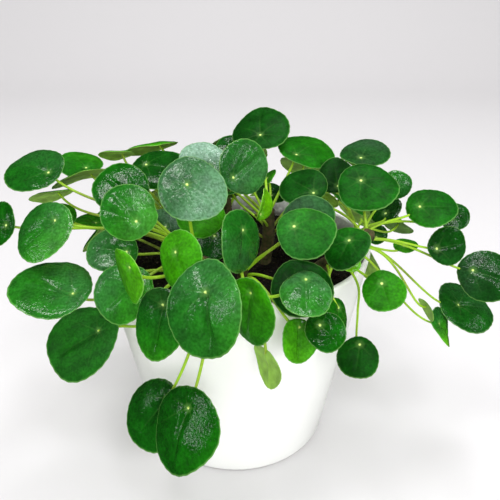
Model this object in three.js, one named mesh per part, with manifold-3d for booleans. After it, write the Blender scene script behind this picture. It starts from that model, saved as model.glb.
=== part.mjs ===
// Potted pilea (Pilea peperomioides): a plain white round pot filled with soil, and leafy shoots that stand in it.
// Millimetres, +Z up. The origin is the middle of the pot's foot, on the surface that the pot stands on.
// -Y is the front. Each shoot is one grown piece: its stem, its petioles and its round shield-shaped blades.
import * as THREE from "three";
import { mergeVertices } from "three/addons/utils/BufferGeometryUtils.js";
import Module from "manifold-3d";

const wasm = await Module();
wasm.setup();

// ---------------------------------------------------------------- driving dimensions, mm

const POT = {
  rimRadius: 85,
  footRadius: 61,
  height: 138,
  wall: 3,
  floor: 4,
  footRound: 4,
  lipRound: 1,
  sides: 48,
};
const SOIL = {
  belowRim: 12, // the soil's edge lies this far under the lip
  crown: 3, // and its middle is heaped this much higher
  heapAt: 0.7, // share of the way out, and of the heap, of the ring between middle and edge
  clear: 0.3, // gap to the pot's wall and floor, and round and under each stem
  stemDepth: 22, // how deep each stem's hole goes
};
const STEM = {
  sides: 8,
  steps: 4,
  collar: 2, // how far it stands straight out of the soil
  sunkIn: 1, // how far its buried part runs up into the part above
  narrows: 0.2, // share of its thickness that it loses on the way to the tip
  leafy: [0.3, 0.98], // petioles grow between these shares of its length
};
const PETIOLE = {
  thick: 2.8,
  sides: 3,
  steps: 4,
  archSteps: 6,
  throughSteps: 8,
  tipShare: 0.3, // the end that runs into the blade is this share of the thickness
  outwards: 0.6, // it leaves the stem this much outwards
  upwards: 0.8, // and this much upwards
  start: 0.36, // pull at its start, as a share of its reach
  under: 0.2, // how far under the blade it comes from, as a share of its reach
  short: 0.16, // and how far short of the dot
};
const BLADE = {
  thick: 0.9,
  edgePoints: 8, // and two more for each mmPerPair of its length
  mmPerPair: 13,
  slim: 0.96, // width as a share of the length
  // the rest are shares of the blade's radius
  ringAt: 0.56, // where the ring of points between dot and edge lies
  dotAt: 0.34, // how far the dot lies from the middle
  dotWithin: 0.62, // and the farthest it may lie
  dotTooNear: 0.08, // a dot nearer than this doesn't show which way the tip points
  dome: 0.1,
  wave: 0.07,
  foldSoft: 0.14, // half width of the rounded bottom of a fold
  scallop3: 0.022, // the edge runs in and out this much, three times round
  scallop5: 0.012, // and this much, five times round
};
// A petiole that hangs over the lip arches over it first; its two pulling points lie here.
const ARCH = {
  inside: 10, // its stem is at least this far inside the lip
  low: 8, // its dot is less than this over the lip
  outside: 12, // first point: outside the lip
  rise: 30, // and over it
  lift: 0.35, // and higher by this share of the dot's depth under the lip
  under: 12, // second point: under the blade
};

// The spot from which the foliage was measured, and how it looks down: a reading is a pixel of a 500 px square view.
const EYE = {
  place: new THREE.Vector3(9, -311, 275),
  down: THREE.MathUtils.degToRad(25),
  focal: 530,
  middle: 250,
};

// ---------------------------------------------------------------- the shoots and their leaves
//
// A leaf that was measured in the view has
//   at      pixel of the blade's middle            dot     pixel where the petiole meets it (left out where unseen)
//   depth   Y of the blade's middle, mm            across  the blade's full length, mm
//   open    how far the face turns to the viewer: 1 full face, 0 edge on, below 0 the underside shows
//   lean    which way the face leans, degrees in the view: 0 right, 90 up, 180 left
// A leaf that the view hides has
//   spot    its blade's middle, mm                 faces   [compass angle from +X, angle above the horizon], degrees
// Either may have
//   fold    how far its two halves fold up along the midrib       dome   how far its edge bends down
//   slim    its width as a share of its length
//   over    two points that pull the petiole's curve, mm, where it has to bend round something
//   through points that the petiole passes on its way to the blade's underside, mm
// Stem points are [x, y, height over the stem's collar].
const SHOOTS = [
  {
    name: "shoot_left",
    thick: 7,
    stem: [[-27, -27, 0], [-29, -32, 8], [-30, -38, 20]],
    leaves: [
      { at: [32, 168], dot: [49, 171], depth: -12, across: 36, open: 0.58, lean: 120 },
      { at: [52, 193], depth: 4, across: 28, open: -0.2, lean: 104 },
      { at: [42, 231], dot: [54, 220], depth: -44, across: 36, open: 0.7, lean: 150, fold: 0.14 },
      { at: [61, 213], depth: -4, across: 19, open: 0.77, lean: 90 },
      { at: [-4, 223], dot: [5, 225], depth: -25, across: 28, open: 0.58, lean: 165 },
      { at: [92, 220], depth: 12, across: 24, open: 0.45, lean: 90, through: [[-60, -12, 143], [-82, 6, 141]] },
      { at: [121, 188], depth: -38, across: 31, open: 0.93, lean: 110 },
      { at: [128, 211], dot: [136, 221], depth: -66, across: 29, open: 0.97, lean: 120 },
      { at: [111, 249], dot: [126, 251], depth: -50, across: 28, open: 0.88, lean: 120 },
      { at: [163, 222], depth: -14, across: 22, open: 0.8, lean: 90 },
    ],
  },
  {
    name: "shoot_front_left",
    thick: 7,
    stem: [[-12, -44, 0], [-14, -49, 8], [-16, -54, 18]],
    leaves: [
      { at: [193, 188], dot: [187, 184], depth: -62, across: 35, open: 0.92, lean: 80 },
      { at: [178, 260], dot: [174, 257], depth: -88, across: 27, open: 0.7, lean: 175, slim: 0.84 },
      { at: [210, 245], dot: [215, 234], depth: -40, across: 21, open: 0.9, lean: 90,
        through: [[-14, -44, 141], [-11, -34, 147]] },
      { at: [205, 309], dot: [204, 292], depth: -113, across: 44, open: 0.86, lean: 175, fold: 0.2, slim: 0.84 },
      { at: [158, 324], dot: [162, 305], depth: -94, across: 36, open: 0.86, lean: 190, slim: 0.78,
        through: [[-22, -66, 148], [-30, -82, 144]] },
      { at: [122, 293], dot: [136, 281], depth: -74, across: 32, open: 0.93, lean: 160,
        through: [[-34, -55, 147], [-46, -62, 143]] },
      { at: [125, 277], dot: [128, 267], depth: -94, across: 28, open: 0.3, lean: 200,
        over: [[-24, -68, 150], [-46, -84, 148]] },
      { at: [51, 286], dot: [75, 293], depth: -60, across: 44, open: 0.71, lean: 102,
        through: [[-46, -57, 144], [-63, -61, 141], [-76, -62, 129]] },
      { at: [80, 341], dot: [97, 330], depth: -56, across: 46, open: 0.8, lean: 150,
        through: [[-24, -66, 148], [-36, -80, 143], [-48, -74, 122], [-68, -50, 104]] },
      { at: [152, 415], dot: [166, 398], depth: -93, across: 39, open: 0.76, lean: 180,
        over: [[-9, -114, 172], [-18, -80, 110]] },
      { at: [181, 430], dot: [187, 408], depth: -110, across: 43, open: 0.76, lean: 178,
        over: [[-4, -114, 174], [-14, -80, 102]] },
    ],
  },
  {
    name: "shoot_front",
    thick: 6.5,
    stem: [[4, -50, 0], [5, -54, 7], [5, -58, 14]],
    leaves: [
      { at: [306, 231], dot: [294, 226], depth: -84, across: 28, open: 0.88, lean: 100 },
      { at: [309, 217], depth: -60, across: 27, open: 0.9, lean: 90 },
      { at: [306, 292], dot: [306, 270], depth: -99, across: 25, open: 0.81, lean: 80,
        over: [[4, -94, 152], [18, -94, 141]] },
      { at: [302, 287], depth: -82, across: 31, open: 0.95, lean: 90 },
      { at: [299, 341], dot: [300, 324], depth: -92, across: 22, open: 0.82, lean: 0, fold: 0.25,
        through: [[11, -68, 145], [20, -81, 141], [29, -86, 130]] },
      { at: [247, 313], dot: [249, 293], depth: -99, across: 33, open: 0.62, lean: 202,
        over: [[4, -80, 160], [6, -92, 152]] },
      { at: [269, 365], dot: [267, 352], depth: -98, across: 23, open: -0.42, lean: 25,
        over: [[8, -100, 165], [18, -110, 132]] },
      { at: [243, 242], dot: [244, 230], depth: -70, across: 32, open: 0.62, lean: 0 },
    ],
  },
  {
    name: "shoot_middle",
    thick: 8,
    stem: [[18, -14, 0], [20, -16, 14], [20, -20, 34]],
    leaves: [
      { at: [203, 162], depth: -18, across: 28, open: 0.9, lean: 100 },
      { at: [232, 148], depth: 26, across: 22, open: 0.82, lean: 95 },
      { at: [260, 127], depth: 10, across: 37, open: 0.65, lean: 105 },
      { at: [246, 167], dot: [233, 178], depth: -40, across: 30, open: 0.86, lean: 10 },
      { at: [307, 148], dot: [294, 155], depth: 6, across: 37, open: 0.46, lean: 72 },
      { at: [268, 176], depth: -2, across: 12, open: 0.4, lean: 135 },
      { at: [264, 205], dot: [261, 217], depth: -48, across: 17, open: 0.38, lean: -10, fold: 0.3 },
      { at: [272, 192], depth: 12, across: 20, open: 0.6, lean: 80 },
      { at: [201, 215], depth: -28, across: 28, open: 0.9, lean: 90 },
      { at: [330, 200], depth: -8, across: 12, open: -0.6, lean: 60 },
      { spot: [-6, 6, 167], faces: [120, 65], across: 30 },
      { spot: [42, 8, 166], faces: [30, 60], across: 28 },
    ],
  },
  {
    name: "shoot_right",
    thick: 8,
    stem: [[42, -38, 0], [55, -56, 21], [68, -70, 40]],
    leaves: [
      { at: [302, 185], dot: [314, 192], depth: -26, across: 28, open: 0.72, lean: 105 },
      { at: [336, 175], dot: [338, 186], depth: -14, across: 22, open: 0.92, lean: 90 },
      { at: [368, 185], dot: [361, 180], depth: -54, across: 31, open: 0.78, lean: 85 },
      { at: [365, 150], dot: [361, 157], depth: -24, across: 28, open: 0.51, lean: 87 },
      { at: [397, 184], depth: -22, across: 17, open: 0.95, lean: 60 },
      { at: [385, 209], depth: -18, across: 20, open: 0.7, lean: 120 },
      { at: [399, 225], depth: -2, across: 20, open: -0.35, lean: 68 },
      { at: [377, 234], depth: -8, across: 13, open: 0.95, lean: 90, through: [[74, -22, 158], [80, 0, 150]] },
      { at: [406, 244], depth: -36, across: 14, open: 0.56, lean: 85 },
      { at: [432, 206], dot: [420, 206], depth: -42, across: 27, open: 0.78, lean: 80 },
      { at: [455, 216], depth: -18, across: 18, open: 0.9, lean: 60 },
      { at: [449, 246], dot: [436, 249], depth: -50, across: 22, open: 0.88, lean: 0 },
      { at: [487, 275], dot: [473, 270], depth: -46, across: 31, open: 0.96, lean: 60 },
      { at: [468, 305], depth: -28, across: 38, open: 0.62, lean: 45 },
      { at: [443, 327], depth: -40, across: 25, open: 0.31, lean: 15, fold: 0.2 },
      { at: [428, 309], depth: -52, across: 15, open: -0.26, lean: 30 },
      { at: [384, 290], depth: -84, across: 22, open: 0.91, lean: 90 },
      { at: [358, 357], dot: [360, 343], depth: -80, across: 23, open: 0.95, lean: 90,
        through: [[58, -58, 150], [66, -64, 140], [68, -62, 122], [68, -66, 106]] },
      { at: [338, 322], dot: [340, 302], depth: -84, across: 24, open: 0.48, lean: 0,
        through: [[50, -66, 148], [50, -78, 142]] },
      { at: [346, 246], dot: [349, 240], depth: -80, across: 24, open: 0.8, lean: 120 },
      { at: [352, 264], depth: -67, across: 9, open: 0.88, lean: 90 },
      { at: [326, 331], dot: [320, 325], depth: -100, across: 20, open: 0.95, lean: 60,
        through: [[52, -66, 154], [45, -82, 144], [40, -92, 133]] },
    ],
  },
  {
    name: "shoot_back_left",
    thick: 6.5,
    stem: [[-38, 6, 0], [-41, 9, 10], [-44, 11, 24]],
    leaves: [
      { at: [80, 161], dot: [86, 167], depth: 44, across: 31, open: 0.52, lean: 95 },
      { at: [80, 175], depth: 14, across: 38, open: -0.14, lean: 108 },
      { at: [116, 153], depth: 18, across: 22, open: -0.25, lean: 95 },
      { at: [157, 166], dot: [146, 164], depth: -6, across: 31, open: 0.73, lean: 110 },
      { spot: [-75, 50, 165], faces: [140, 55], across: 34 },
      { spot: [-95, 75, 130], faces: [140, 40], across: 40 },
      { spot: [-98, 34, 130], faces: [165, 35], across: 38 },
      { spot: [-98, 60, 84], faces: [155, 20], across: 36 },
      { spot: [-68, 79, 139], faces: [118, 50], across: 34 },
      { spot: [-44, 24, 173], faces: [150, 65], across: 26 },
    ],
  },
  {
    name: "shoot_back",
    thick: 7,
    stem: [[-6, 36, 0], [-7, 40, 12], [-8, 44, 28]],
    leaves: [
      { at: [150, 145], depth: 34, across: 36, open: -0.15, lean: 103 },
      { spot: [-65, 112, 126], faces: [115, 35], across: 40 },
      { spot: [-22, 128, 125], faces: [100, 30], across: 42 },
      { spot: [24, 128, 116], faces: [85, 30], across: 40 },
      { spot: [-34, 112, 80], faces: [105, 15], across: 40 },
      { spot: [12, 112, 78], faces: [80, 10], across: 36 },
      { spot: [0, 55, 188], faces: [90, 60], across: 34 },
      { spot: [-38, 54, 176], faces: [110, 55], across: 36 },
      { spot: [4, 96, 172], faces: [90, 50], across: 38 },
      { spot: [-30, 84, 170], faces: [105, 55], across: 30 },
      { spot: [-22, 28, 162], faces: [100, 70], across: 28 },
      { spot: [12, 62, 162], faces: [70, 60], across: 28 },
    ],
  },
  {
    name: "shoot_back_right",
    thick: 7,
    stem: [[42, 22, 0], [45, 25, 12], [48, 27, 28]],
    leaves: [
      { spot: [105, 48, 142], faces: [25, 45], across: 38 },
      { spot: [97, 90, 124], faces: [45, 35], across: 38 },
      { spot: [60, 120, 128], faces: [65, 35], across: 42 },
      { spot: [52, 62, 177], faces: [70, 60], across: 34 },
      { spot: [74, 18, 157], faces: [10, 60], across: 28 },
      { spot: [88, 46, 172], faces: [30, 55], across: 34 },
      { spot: [50, 95, 160], faces: [65, 50], across: 36 },
      { spot: [80, 78, 150], faces: [45, 50], across: 34 },
      { spot: [100, 58, 94], faces: [30, 20], across: 38 },
      { spot: [62, 100, 84], faces: [60, 15], across: 34 },
    ],
  },
];

// Heights of the soil's edge and of the spot from which each stem's own heights count.
const soilTop = POT.height - SOIL.belowRim;
const stemBase = soilTop + SOIL.crown + STEM.collar;

// ---------------------------------------------------------------- small helpers

const vec = (xyz) => new THREE.Vector3(...xyz);
const degrees = THREE.MathUtils.degToRad;

// A repeatable draw between 0 and 1, one for each seed.
const draw = (seed) => {
  const spread = Math.sin(seed * 12.9898) * 43758.5453;
  return spread - Math.floor(spread);
};

function toSolid(geometry) {
  const bare = geometry.index ? geometry.toNonIndexed() : geometry.clone();
  bare.deleteAttribute("normal");
  bare.deleteAttribute("uv");
  const merged = mergeVertices(bare, 1e-5);
  const mesh = new wasm.Mesh({
    numProp: 3,
    vertProperties: new Float32Array(merged.attributes.position.array),
    triVerts: new Uint32Array(merged.index.array),
  });
  return new wasm.Manifold(mesh);
}

function toGeometry(solid) {
  const { vertProperties, triVerts } = solid.getMesh();
  const geometry = new THREE.BufferGeometry();
  geometry.setAttribute("position", new THREE.BufferAttribute(vertProperties, 3));
  geometry.setIndex(new THREE.BufferAttribute(triVerts, 1));
  geometry.computeVertexNormals();
  return geometry;
}

// A closed skin from rings of points, a cap at each end.
function skin(rings) {
  const sides = rings[0].length;
  const points = rings.flat();
  const faces = [];
  for (let ring = 0; ring + 1 < rings.length; ring += 1) {
    for (let side = 0; side < sides; side += 1) {
      const next = (side + 1) % sides;
      const [a, b] = [ring * sides + side, ring * sides + next];
      faces.push(a, b, b + sides, a, b + sides, a + sides);
    }
  }
  const last = (rings.length - 1) * sides;
  for (let side = 1; side + 1 < sides; side += 1) {
    faces.push(0, side + 1, side, last, last + side, last + side + 1);
  }
  return closedGeometry(points, faces);
}

function closedGeometry(points, faces) {
  const geometry = new THREE.BufferGeometry();
  geometry.setAttribute("position", new THREE.Float32BufferAttribute(points.flatMap((p) => p.toArray()), 3));
  geometry.setIndex(faces);
  return geometry;
}

// A round rod along a curve, with its radius at each share of the way.
function rod(curve, radiusAt, sides, steps) {
  const frames = curve.computeFrenetFrames(steps, false);
  const rings = [];
  for (let step = 0; step <= steps; step += 1) {
    const share = step / steps;
    const middle = curve.getPointAt(share);
    const radius = radiusAt(share);
    const ring = [];
    for (let side = 0; side < sides; side += 1) {
      const turn = (2 * Math.PI * (side + 0.5)) / sides;
      const across = frames.normals[step].clone().multiplyScalar(radius * Math.cos(turn));
      const along = frames.binormals[step].clone().multiplyScalar(radius * Math.sin(turn));
      ring.push(middle.clone().add(across).add(along));
    }
    rings.push(ring);
  }
  return toSolid(skin(rings));
}

// ---------------------------------------------------------------- where each leaf is

const eyeAhead = new THREE.Vector3(0, Math.cos(EYE.down), -Math.sin(EYE.down));
const eyeUp = new THREE.Vector3(0, Math.sin(EYE.down), Math.cos(EYE.down));
const eyeRight = new THREE.Vector3(1, 0, 0);

// The sight line through a pixel, one unit long.
function sightLine([x, y]) {
  return eyeAhead.clone()
    .addScaledVector(eyeRight, (x - EYE.middle) / EYE.focal)
    .addScaledVector(eyeUp, (EYE.middle - y) / EYE.focal)
    .normalize();
}

// The blade's middle and the way its upper face points.
function stance(leaf) {
  if (leaf.spot) {
    const [compass, height] = leaf.faces.map(degrees);
    const face = new THREE.Vector3(
      Math.cos(compass) * Math.cos(height),
      Math.sin(compass) * Math.cos(height),
      Math.sin(height),
    );
    return { middle: vec(leaf.spot), face };
  }
  const sight = sightLine(leaf.at);
  const reach = (leaf.depth - EYE.place.y) / sight.y;
  const middle = EYE.place.clone().addScaledVector(sight, reach);
  const right = new THREE.Vector3().crossVectors(sight, eyeUp).normalize();
  const up = new THREE.Vector3().crossVectors(right, sight);
  const sideways = Math.sqrt(1 - leaf.open ** 2);
  const face = sight.clone().multiplyScalar(-leaf.open)
    .addScaledVector(right, sideways * Math.cos(degrees(leaf.lean)))
    .addScaledVector(up, sideways * Math.sin(degrees(leaf.lean)));
  return { middle, face };
}

// Where the petiole meets the blade's plane.
function dotOn(leaf, { middle, face }, radius, crown) {
  if (leaf.dot) {
    const sight = sightLine(leaf.dot);
    const reach = middle.clone().sub(EYE.place).dot(face) / sight.dot(face);
    const dot = EYE.place.clone().addScaledVector(sight, reach);
    const off = dot.clone().sub(middle);
    return middle.clone().add(off.clampLength(0, radius * BLADE.dotWithin));
  }
  const home = crown.clone().sub(middle);
  home.addScaledVector(face, -home.dot(face)).normalize();
  return middle.clone().addScaledVector(home, radius * BLADE.dotAt);
}

// A leaf's own frame: tip runs from the dot through the middle, side lies across it, face points up.
function settle(leaf, seed, crown) {
  const radius = leaf.across / 2;
  const { middle, face } = stance(leaf);
  const dot = dotOn(leaf, { middle, face }, radius, crown);
  const tip = middle.clone().sub(dot);
  if (tip.length() < BLADE.dotTooNear * radius) tip.copy(middle).sub(crown);
  tip.addScaledVector(face, -tip.dot(face)).normalize();
  const side = new THREE.Vector3().crossVectors(face, tip);
  const off = dot.sub(middle).divideScalar(radius);
  return { ...leaf, seed, radius, middle, face, tip, side, dotAlong: off.dot(tip), dotAcross: off.dot(side) };
}

// The blade's edge, a circle that is a little uneven, at an angle from the tip.
function edgeRadius(leaf, angle) {
  const turn = 2 * Math.PI * draw(leaf.seed + 0.31);
  const uneven = BLADE.scallop3 * Math.cos(3 * angle + turn) + BLADE.scallop5 * Math.cos(5 * angle - turn);
  return leaf.radius * (1 + uneven);
}

// A point of the blade's middle surface: share of the way from the dot to the edge point at an angle from the tip.
// along and across are measured from the blade's middle, as shares of its radius.
function bladePoint(leaf, share, angle) {
  const out = edgeRadius(leaf, angle) / leaf.radius;
  const along = THREE.MathUtils.lerp(leaf.dotAlong, out * Math.cos(angle), share);
  const across = THREE.MathUtils.lerp(leaf.dotAcross, out * Math.sin(angle) * (leaf.slim ?? BLADE.slim), share);
  return { along, across, lift: bladeLift(leaf, along, across) };
}

// How far the surface stands off its plane, as a share of the radius.
function bladeLift(leaf, along, across) {
  const out = along ** 2 + across ** 2;
  const turn = 2 * Math.PI * draw(leaf.seed + 0.77);
  const dome = -(leaf.dome ?? BLADE.dome) * out;
  const fold = (leaf.fold ?? 0) * (Math.hypot(across, BLADE.foldSoft) - BLADE.foldSoft);
  const wave = BLADE.wave * out * Math.cos(2 * Math.atan2(across, along) + turn);
  return dome + fold + wave;
}

const inSpace = (leaf, { along, across, lift }) => leaf.middle.clone()
  .addScaledVector(leaf.tip, along * leaf.radius)
  .addScaledVector(leaf.side, across * leaf.radius)
  .addScaledVector(leaf.face, lift * leaf.radius);

const dotInSpace = (leaf) => inSpace(leaf, bladePoint(leaf, 0, 0));

// ---------------------------------------------------------------- blade, petiole, stem

// A thin plate round its dot: a ring of half as many points as the edge, then the edge, alike on both faces.
function blade(leaf) {
  const edge = BLADE.edgePoints + 2 * Math.round(leaf.across / BLADE.mmPerPair);
  const ring = edge / 2;
  const sheet = [inSpace(leaf, bladePoint(leaf, 0, 0))];
  for (let i = 0; i < ring; i += 1) sheet.push(inSpace(leaf, bladePoint(leaf, BLADE.ringAt, (2 * Math.PI * i) / ring)));
  for (let i = 0; i < edge; i += 1) sheet.push(inSpace(leaf, bladePoint(leaf, 1, (2 * Math.PI * i) / edge)));
  const half = leaf.face.clone().multiplyScalar(BLADE.thick / 2);
  const points = [...sheet.map((p) => p.clone().add(half)), ...sheet.map((p) => p.clone().sub(half))];
  const under = sheet.length;
  const onRing = (i) => 1 + (i % ring);
  const onEdge = (i) => 1 + ring + (i % edge);
  const faces = [];
  const bothFaces = (a, b, c) => faces.push(a, b, c, under + a, under + c, under + b);
  for (let i = 0; i < ring; i += 1) {
    bothFaces(0, onRing(i), onRing(i + 1));
    bothFaces(onRing(i), onEdge(2 * i), onEdge(2 * i + 1));
    bothFaces(onRing(i), onEdge(2 * i + 1), onRing(i + 1));
    bothFaces(onRing(i + 1), onEdge(2 * i + 1), onEdge(2 * i + 2));
  }
  for (let i = 0; i < edge; i += 1) {
    const [a, b] = [onEdge(i), onEdge(i + 1)];
    faces.push(a, under + a, under + b, a, under + b, b);
  }
  return toSolid(closedGeometry(points, faces));
}

// A point round the pot's axis.
const roundPot = (compass, radius, z) => new THREE.Vector3(
  radius * Math.cos(compass),
  radius * Math.sin(compass),
  z,
);

const bend = (from, pull, arrive, to, steps) => ({
  curve: new THREE.CubicBezierCurve3(from, pull, arrive, to),
  steps,
});

// The petiole leaves the stem up and outwards and comes to the dot from under the blade.
// One that hangs down outside the pot arches over the lip first.
function petioleCurve(leaf, start) {
  const end = dotInSpace(leaf);
  if (leaf.over) return bend(start, vec(leaf.over[0]), vec(leaf.over[1]), end, PETIOLE.archSteps);
  if (leaf.through) {
    const curve = new THREE.CatmullRomCurve3([start, ...leaf.through.map(vec), end]);
    return { curve, steps: PETIOLE.throughSteps };
  }
  const endRadius = Math.hypot(end.x, end.y);
  const startsInside = Math.hypot(start.x, start.y) < POT.rimRadius - ARCH.inside;
  if (startsInside && endRadius > POT.rimRadius && end.z < POT.height + ARCH.low) {
    const high = POT.height + ARCH.rise + ARCH.lift * Math.max(0, POT.height - end.z);
    const over = roundPot(Math.atan2(end.y, end.x), POT.rimRadius + ARCH.outside, high);
    return bend(start, over, end.clone().addScaledVector(leaf.face, -ARCH.under), end, PETIOLE.archSteps);
  }
  const span = end.clone().sub(start);
  const reach = span.length();
  const rise = new THREE.Vector3(span.x, span.y, 0).setLength(PETIOLE.outwards).setZ(PETIOLE.upwards);
  const pull = start.clone().addScaledVector(rise, PETIOLE.start * reach);
  const arrive = end.clone()
    .addScaledVector(leaf.face, -PETIOLE.under * reach)
    .addScaledVector(span, -PETIOLE.short);
  return bend(start, pull, arrive, end, PETIOLE.steps);
}

function petiole(leaf, start) {
  const { curve, steps } = petioleCurve(leaf, start);
  const radiusAt = (share) => (PETIOLE.thick / 2) * (share < 1 ? 1 : PETIOLE.tipShare);
  return rod(curve, radiusAt, PETIOLE.sides, steps);
}

// How steeply a leaf's dot stands over the shoot's tip.
function climb(leaf, tip) {
  const end = dotInSpace(leaf);
  return Math.atan2(end.z - tip.z, Math.hypot(end.x - tip.x, end.y - tip.y));
}

// The leaves of a shoot in their places, each with the spot on the stem that its petiole grows from:
// the steeper the leaf stands, the nearer the tip it grows.
function placeLeaves(shoot, shootIndex, curve) {
  const tip = curve.getPointAt(1);
  const leaves = shoot.leaves.map((leaf, index) => settle(leaf, 20 * shootIndex + index + 1, tip));
  const byClimb = [...leaves].sort((a, b) => climb(a, tip) - climb(b, tip));
  byClimb.forEach((leaf, rank) => {
    const share = THREE.MathUtils.lerp(...STEM.leafy, rank / (leaves.length - 1));
    leaf.start = curve.getPointAt(share);
  });
  return leaves;
}

// The stem over the soil, and the foot of the part that goes down its hole.
function stemCurveOf(shoot) {
  const curve = new THREE.CatmullRomCurve3(shoot.stem.map(([x, y, z]) => new THREE.Vector3(x, y, stemBase + z)));
  const [x, y] = shoot.stem[0];
  return { curve, foot: new THREE.Vector3(x, y, soilTop - SOIL.stemDepth + SOIL.clear) };
}

function shootSolid(shoot, shootIndex) {
  const { curve, foot } = stemCurveOf(shoot);
  const radius = shoot.thick / 2;
  const sunk = new THREE.LineCurve3(foot, curve.getPointAt(0).add(new THREE.Vector3(0, 0, STEM.sunkIn)));
  let solid = rod(sunk, () => radius, STEM.sides, 1);
  solid = solid.add(rod(curve, (share) => radius * (1 - STEM.narrows * share), STEM.sides, STEM.steps));
  for (const leaf of placeLeaves(shoot, shootIndex, curve)) {
    solid = solid.add(petiole(leaf, leaf.start)).add(blade(leaf));
  }
  return solid;
}

// ---------------------------------------------------------------- pot and soil

function lathe(profile) {
  const turned = new THREE.LatheGeometry(profile.map(([r, z]) => new THREE.Vector2(r, z)), POT.sides);
  return turned.rotateX(Math.PI / 2);
}

const slope = (POT.rimRadius - POT.footRadius) / POT.height;
const outerRadius = (z) => POT.footRadius + slope * z;
const innerRadius = (z) => outerRadius(z) - POT.wall;

function potGeometry() {
  const { height, floor, footRound, lipRound } = POT;
  const cut = footRound * (1 - Math.SQRT1_2); // the round's own middle
  const profile = [
    [0, 0],
    [POT.footRadius - footRound, 0],
    [POT.footRadius - cut, cut],
    [outerRadius(footRound), footRound],
    [outerRadius(height - lipRound), height - lipRound],
    [outerRadius(height) - lipRound, height],
    [innerRadius(height) + lipRound, height],
    [innerRadius(height - lipRound), height - lipRound],
    [innerRadius(floor), floor],
    [0, floor],
  ];
  return lathe(profile);
}

function soilSolid() {
  const low = POT.floor + SOIL.clear;
  const profile = [
    [0, low],
    [innerRadius(low) - SOIL.clear, low],
    [innerRadius(soilTop) - SOIL.clear, soilTop],
    [innerRadius(soilTop) * SOIL.heapAt, soilTop + SOIL.crown * SOIL.heapAt],
    [0, soilTop + SOIL.crown],
  ];
  let soil = toSolid(lathe(profile));
  for (const shoot of SHOOTS) {
    const { foot, curve } = stemCurveOf(shoot);
    const bottom = foot.clone().setZ(foot.z - SOIL.clear);
    const top = curve.getPointAt(0).add(new THREE.Vector3(0, 0, STEM.sunkIn));
    const radius = shoot.thick / 2 + SOIL.clear;
    soil = soil.subtract(rod(new THREE.LineCurve3(bottom, top), () => radius, STEM.sides, 1));
  }
  return soil;
}

// ---------------------------------------------------------------- the group

const finish = {
  pot: new THREE.MeshStandardMaterial({ color: 0xf2f2f0, roughness: 0.35, metalness: 0 }),
  soil: new THREE.MeshStandardMaterial({ color: 0x1d1712, roughness: 1, metalness: 0 }),
  foliage: new THREE.MeshStandardMaterial({ color: 0x1f6b1c, roughness: 0.35, metalness: 0 }),
};

function named(name, geometry, material) {
  const mesh = new THREE.Mesh(geometry, material);
  mesh.name = name;
  return mesh;
}

const plant = new THREE.Group();
plant.name = "potted_pilea";
plant.add(named("pot", toGeometry(toSolid(potGeometry())), finish.pot));
plant.add(named("soil", toGeometry(soilSolid()), finish.soil));
SHOOTS.forEach((shoot, index) => {
  plant.add(named(shoot.name, toGeometry(shootSolid(shoot, index)), finish.foliage));
});

export default plant;
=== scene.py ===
"""Potted pilea: a white tapered pot of dark soil, and leafy shoots whose round blades hang over its lip.

Sizes are millimetres, in the frame of the CAD model: +Z up, the origin in the middle of the pot's foot, -Y
the front. The blades and petioles follow the readings of the solids, a few of them corrected since, and are
finished here with rounded rims, veins, wrinkles and the surface of each material.
"""
import math

import bmesh
import bpy
import numpy as np
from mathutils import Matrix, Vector, noise


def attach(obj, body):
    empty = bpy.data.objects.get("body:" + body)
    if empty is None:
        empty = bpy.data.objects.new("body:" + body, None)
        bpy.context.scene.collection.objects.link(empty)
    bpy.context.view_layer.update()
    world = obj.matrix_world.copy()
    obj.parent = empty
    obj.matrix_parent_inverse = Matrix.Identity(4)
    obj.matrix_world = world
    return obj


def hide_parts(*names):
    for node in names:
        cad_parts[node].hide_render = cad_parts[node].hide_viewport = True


MM = 0.001
MERGE_MM = 0.001
SINE_HASH = (12.9898, 43758.5453)  # the usual pair for draws made with a sine
SEED_STEP = 20  # how far apart the seeds of two shoots' leaves start
# What is drawn for a leaf, each at a step of its own past the leaf's seed.
DRAW_STEPS = dict(
    bulges=0.31, wave=0.77, crease_way=0.17, crease_height=0.23, ring=0.83, wrinkle_way=0.13,
    wrinkle_phase=0.29, painted_sheen_way=0.41, painted_sheen=0.67, shade_way=0.57, shade=0.83, age=0.53,
)

# ---------------------------------------------------------------- driving dimensions, mm

POT_RIM_RADIUS = 84.8  # the solid's flat sides lie this far out
POT_FOOT_RADIUS = 60.8
POT_HEIGHT = 138
POT_WALL = 3
POT_FLOOR = 4
POT_FOOT_ROUND = 4
POT_LIP_ROUND = 1.2
POT_BEVEL = 1  # where its floor meets its wall
POT_SIDES = 192
POT_FOOT_RINGS = (0, 20, 40)  # radii of the rings of points on its flat foot
POT_WALL_STEPS = 12
POT_SLOPE = (POT_RIM_RADIUS - POT_FOOT_RADIUS) / POT_HEIGHT

SOIL_BELOW_RIM = 12
SOIL_CROWN = 3  # its middle is heaped this much higher than its edge
SOIL_CLEAR = 0.3  # gap to the pot
SOIL_SHOULDER = 1  # its side ends this far below its edge
SOIL_RINGS = 46
SOIL_SIDES = 160
SOIL_LUMPS = [(14, 1.6), (4, 1.1)]  # (size, height) of its lumps and crumbs
SOIL_SINKS = 0.6  # how far the lumpy surface lies below the smooth one
SOIL_TOP = POT_HEIGHT - SOIL_BELOW_RIM
CRUMBS_PER_M2 = 90000.0
CRUMB_MM = (0.5, 1.7)
CRUMB_SHAPE = ((0.6, 0.5, 0.4), (1.3, 1.0, 0.8))  # its least and greatest share of its size, each way
CRUMB_LOOKS_UP = 0.6  # crumbs lie on faces whose normal's Z is over this
CRUMB_SEED = 11

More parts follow.
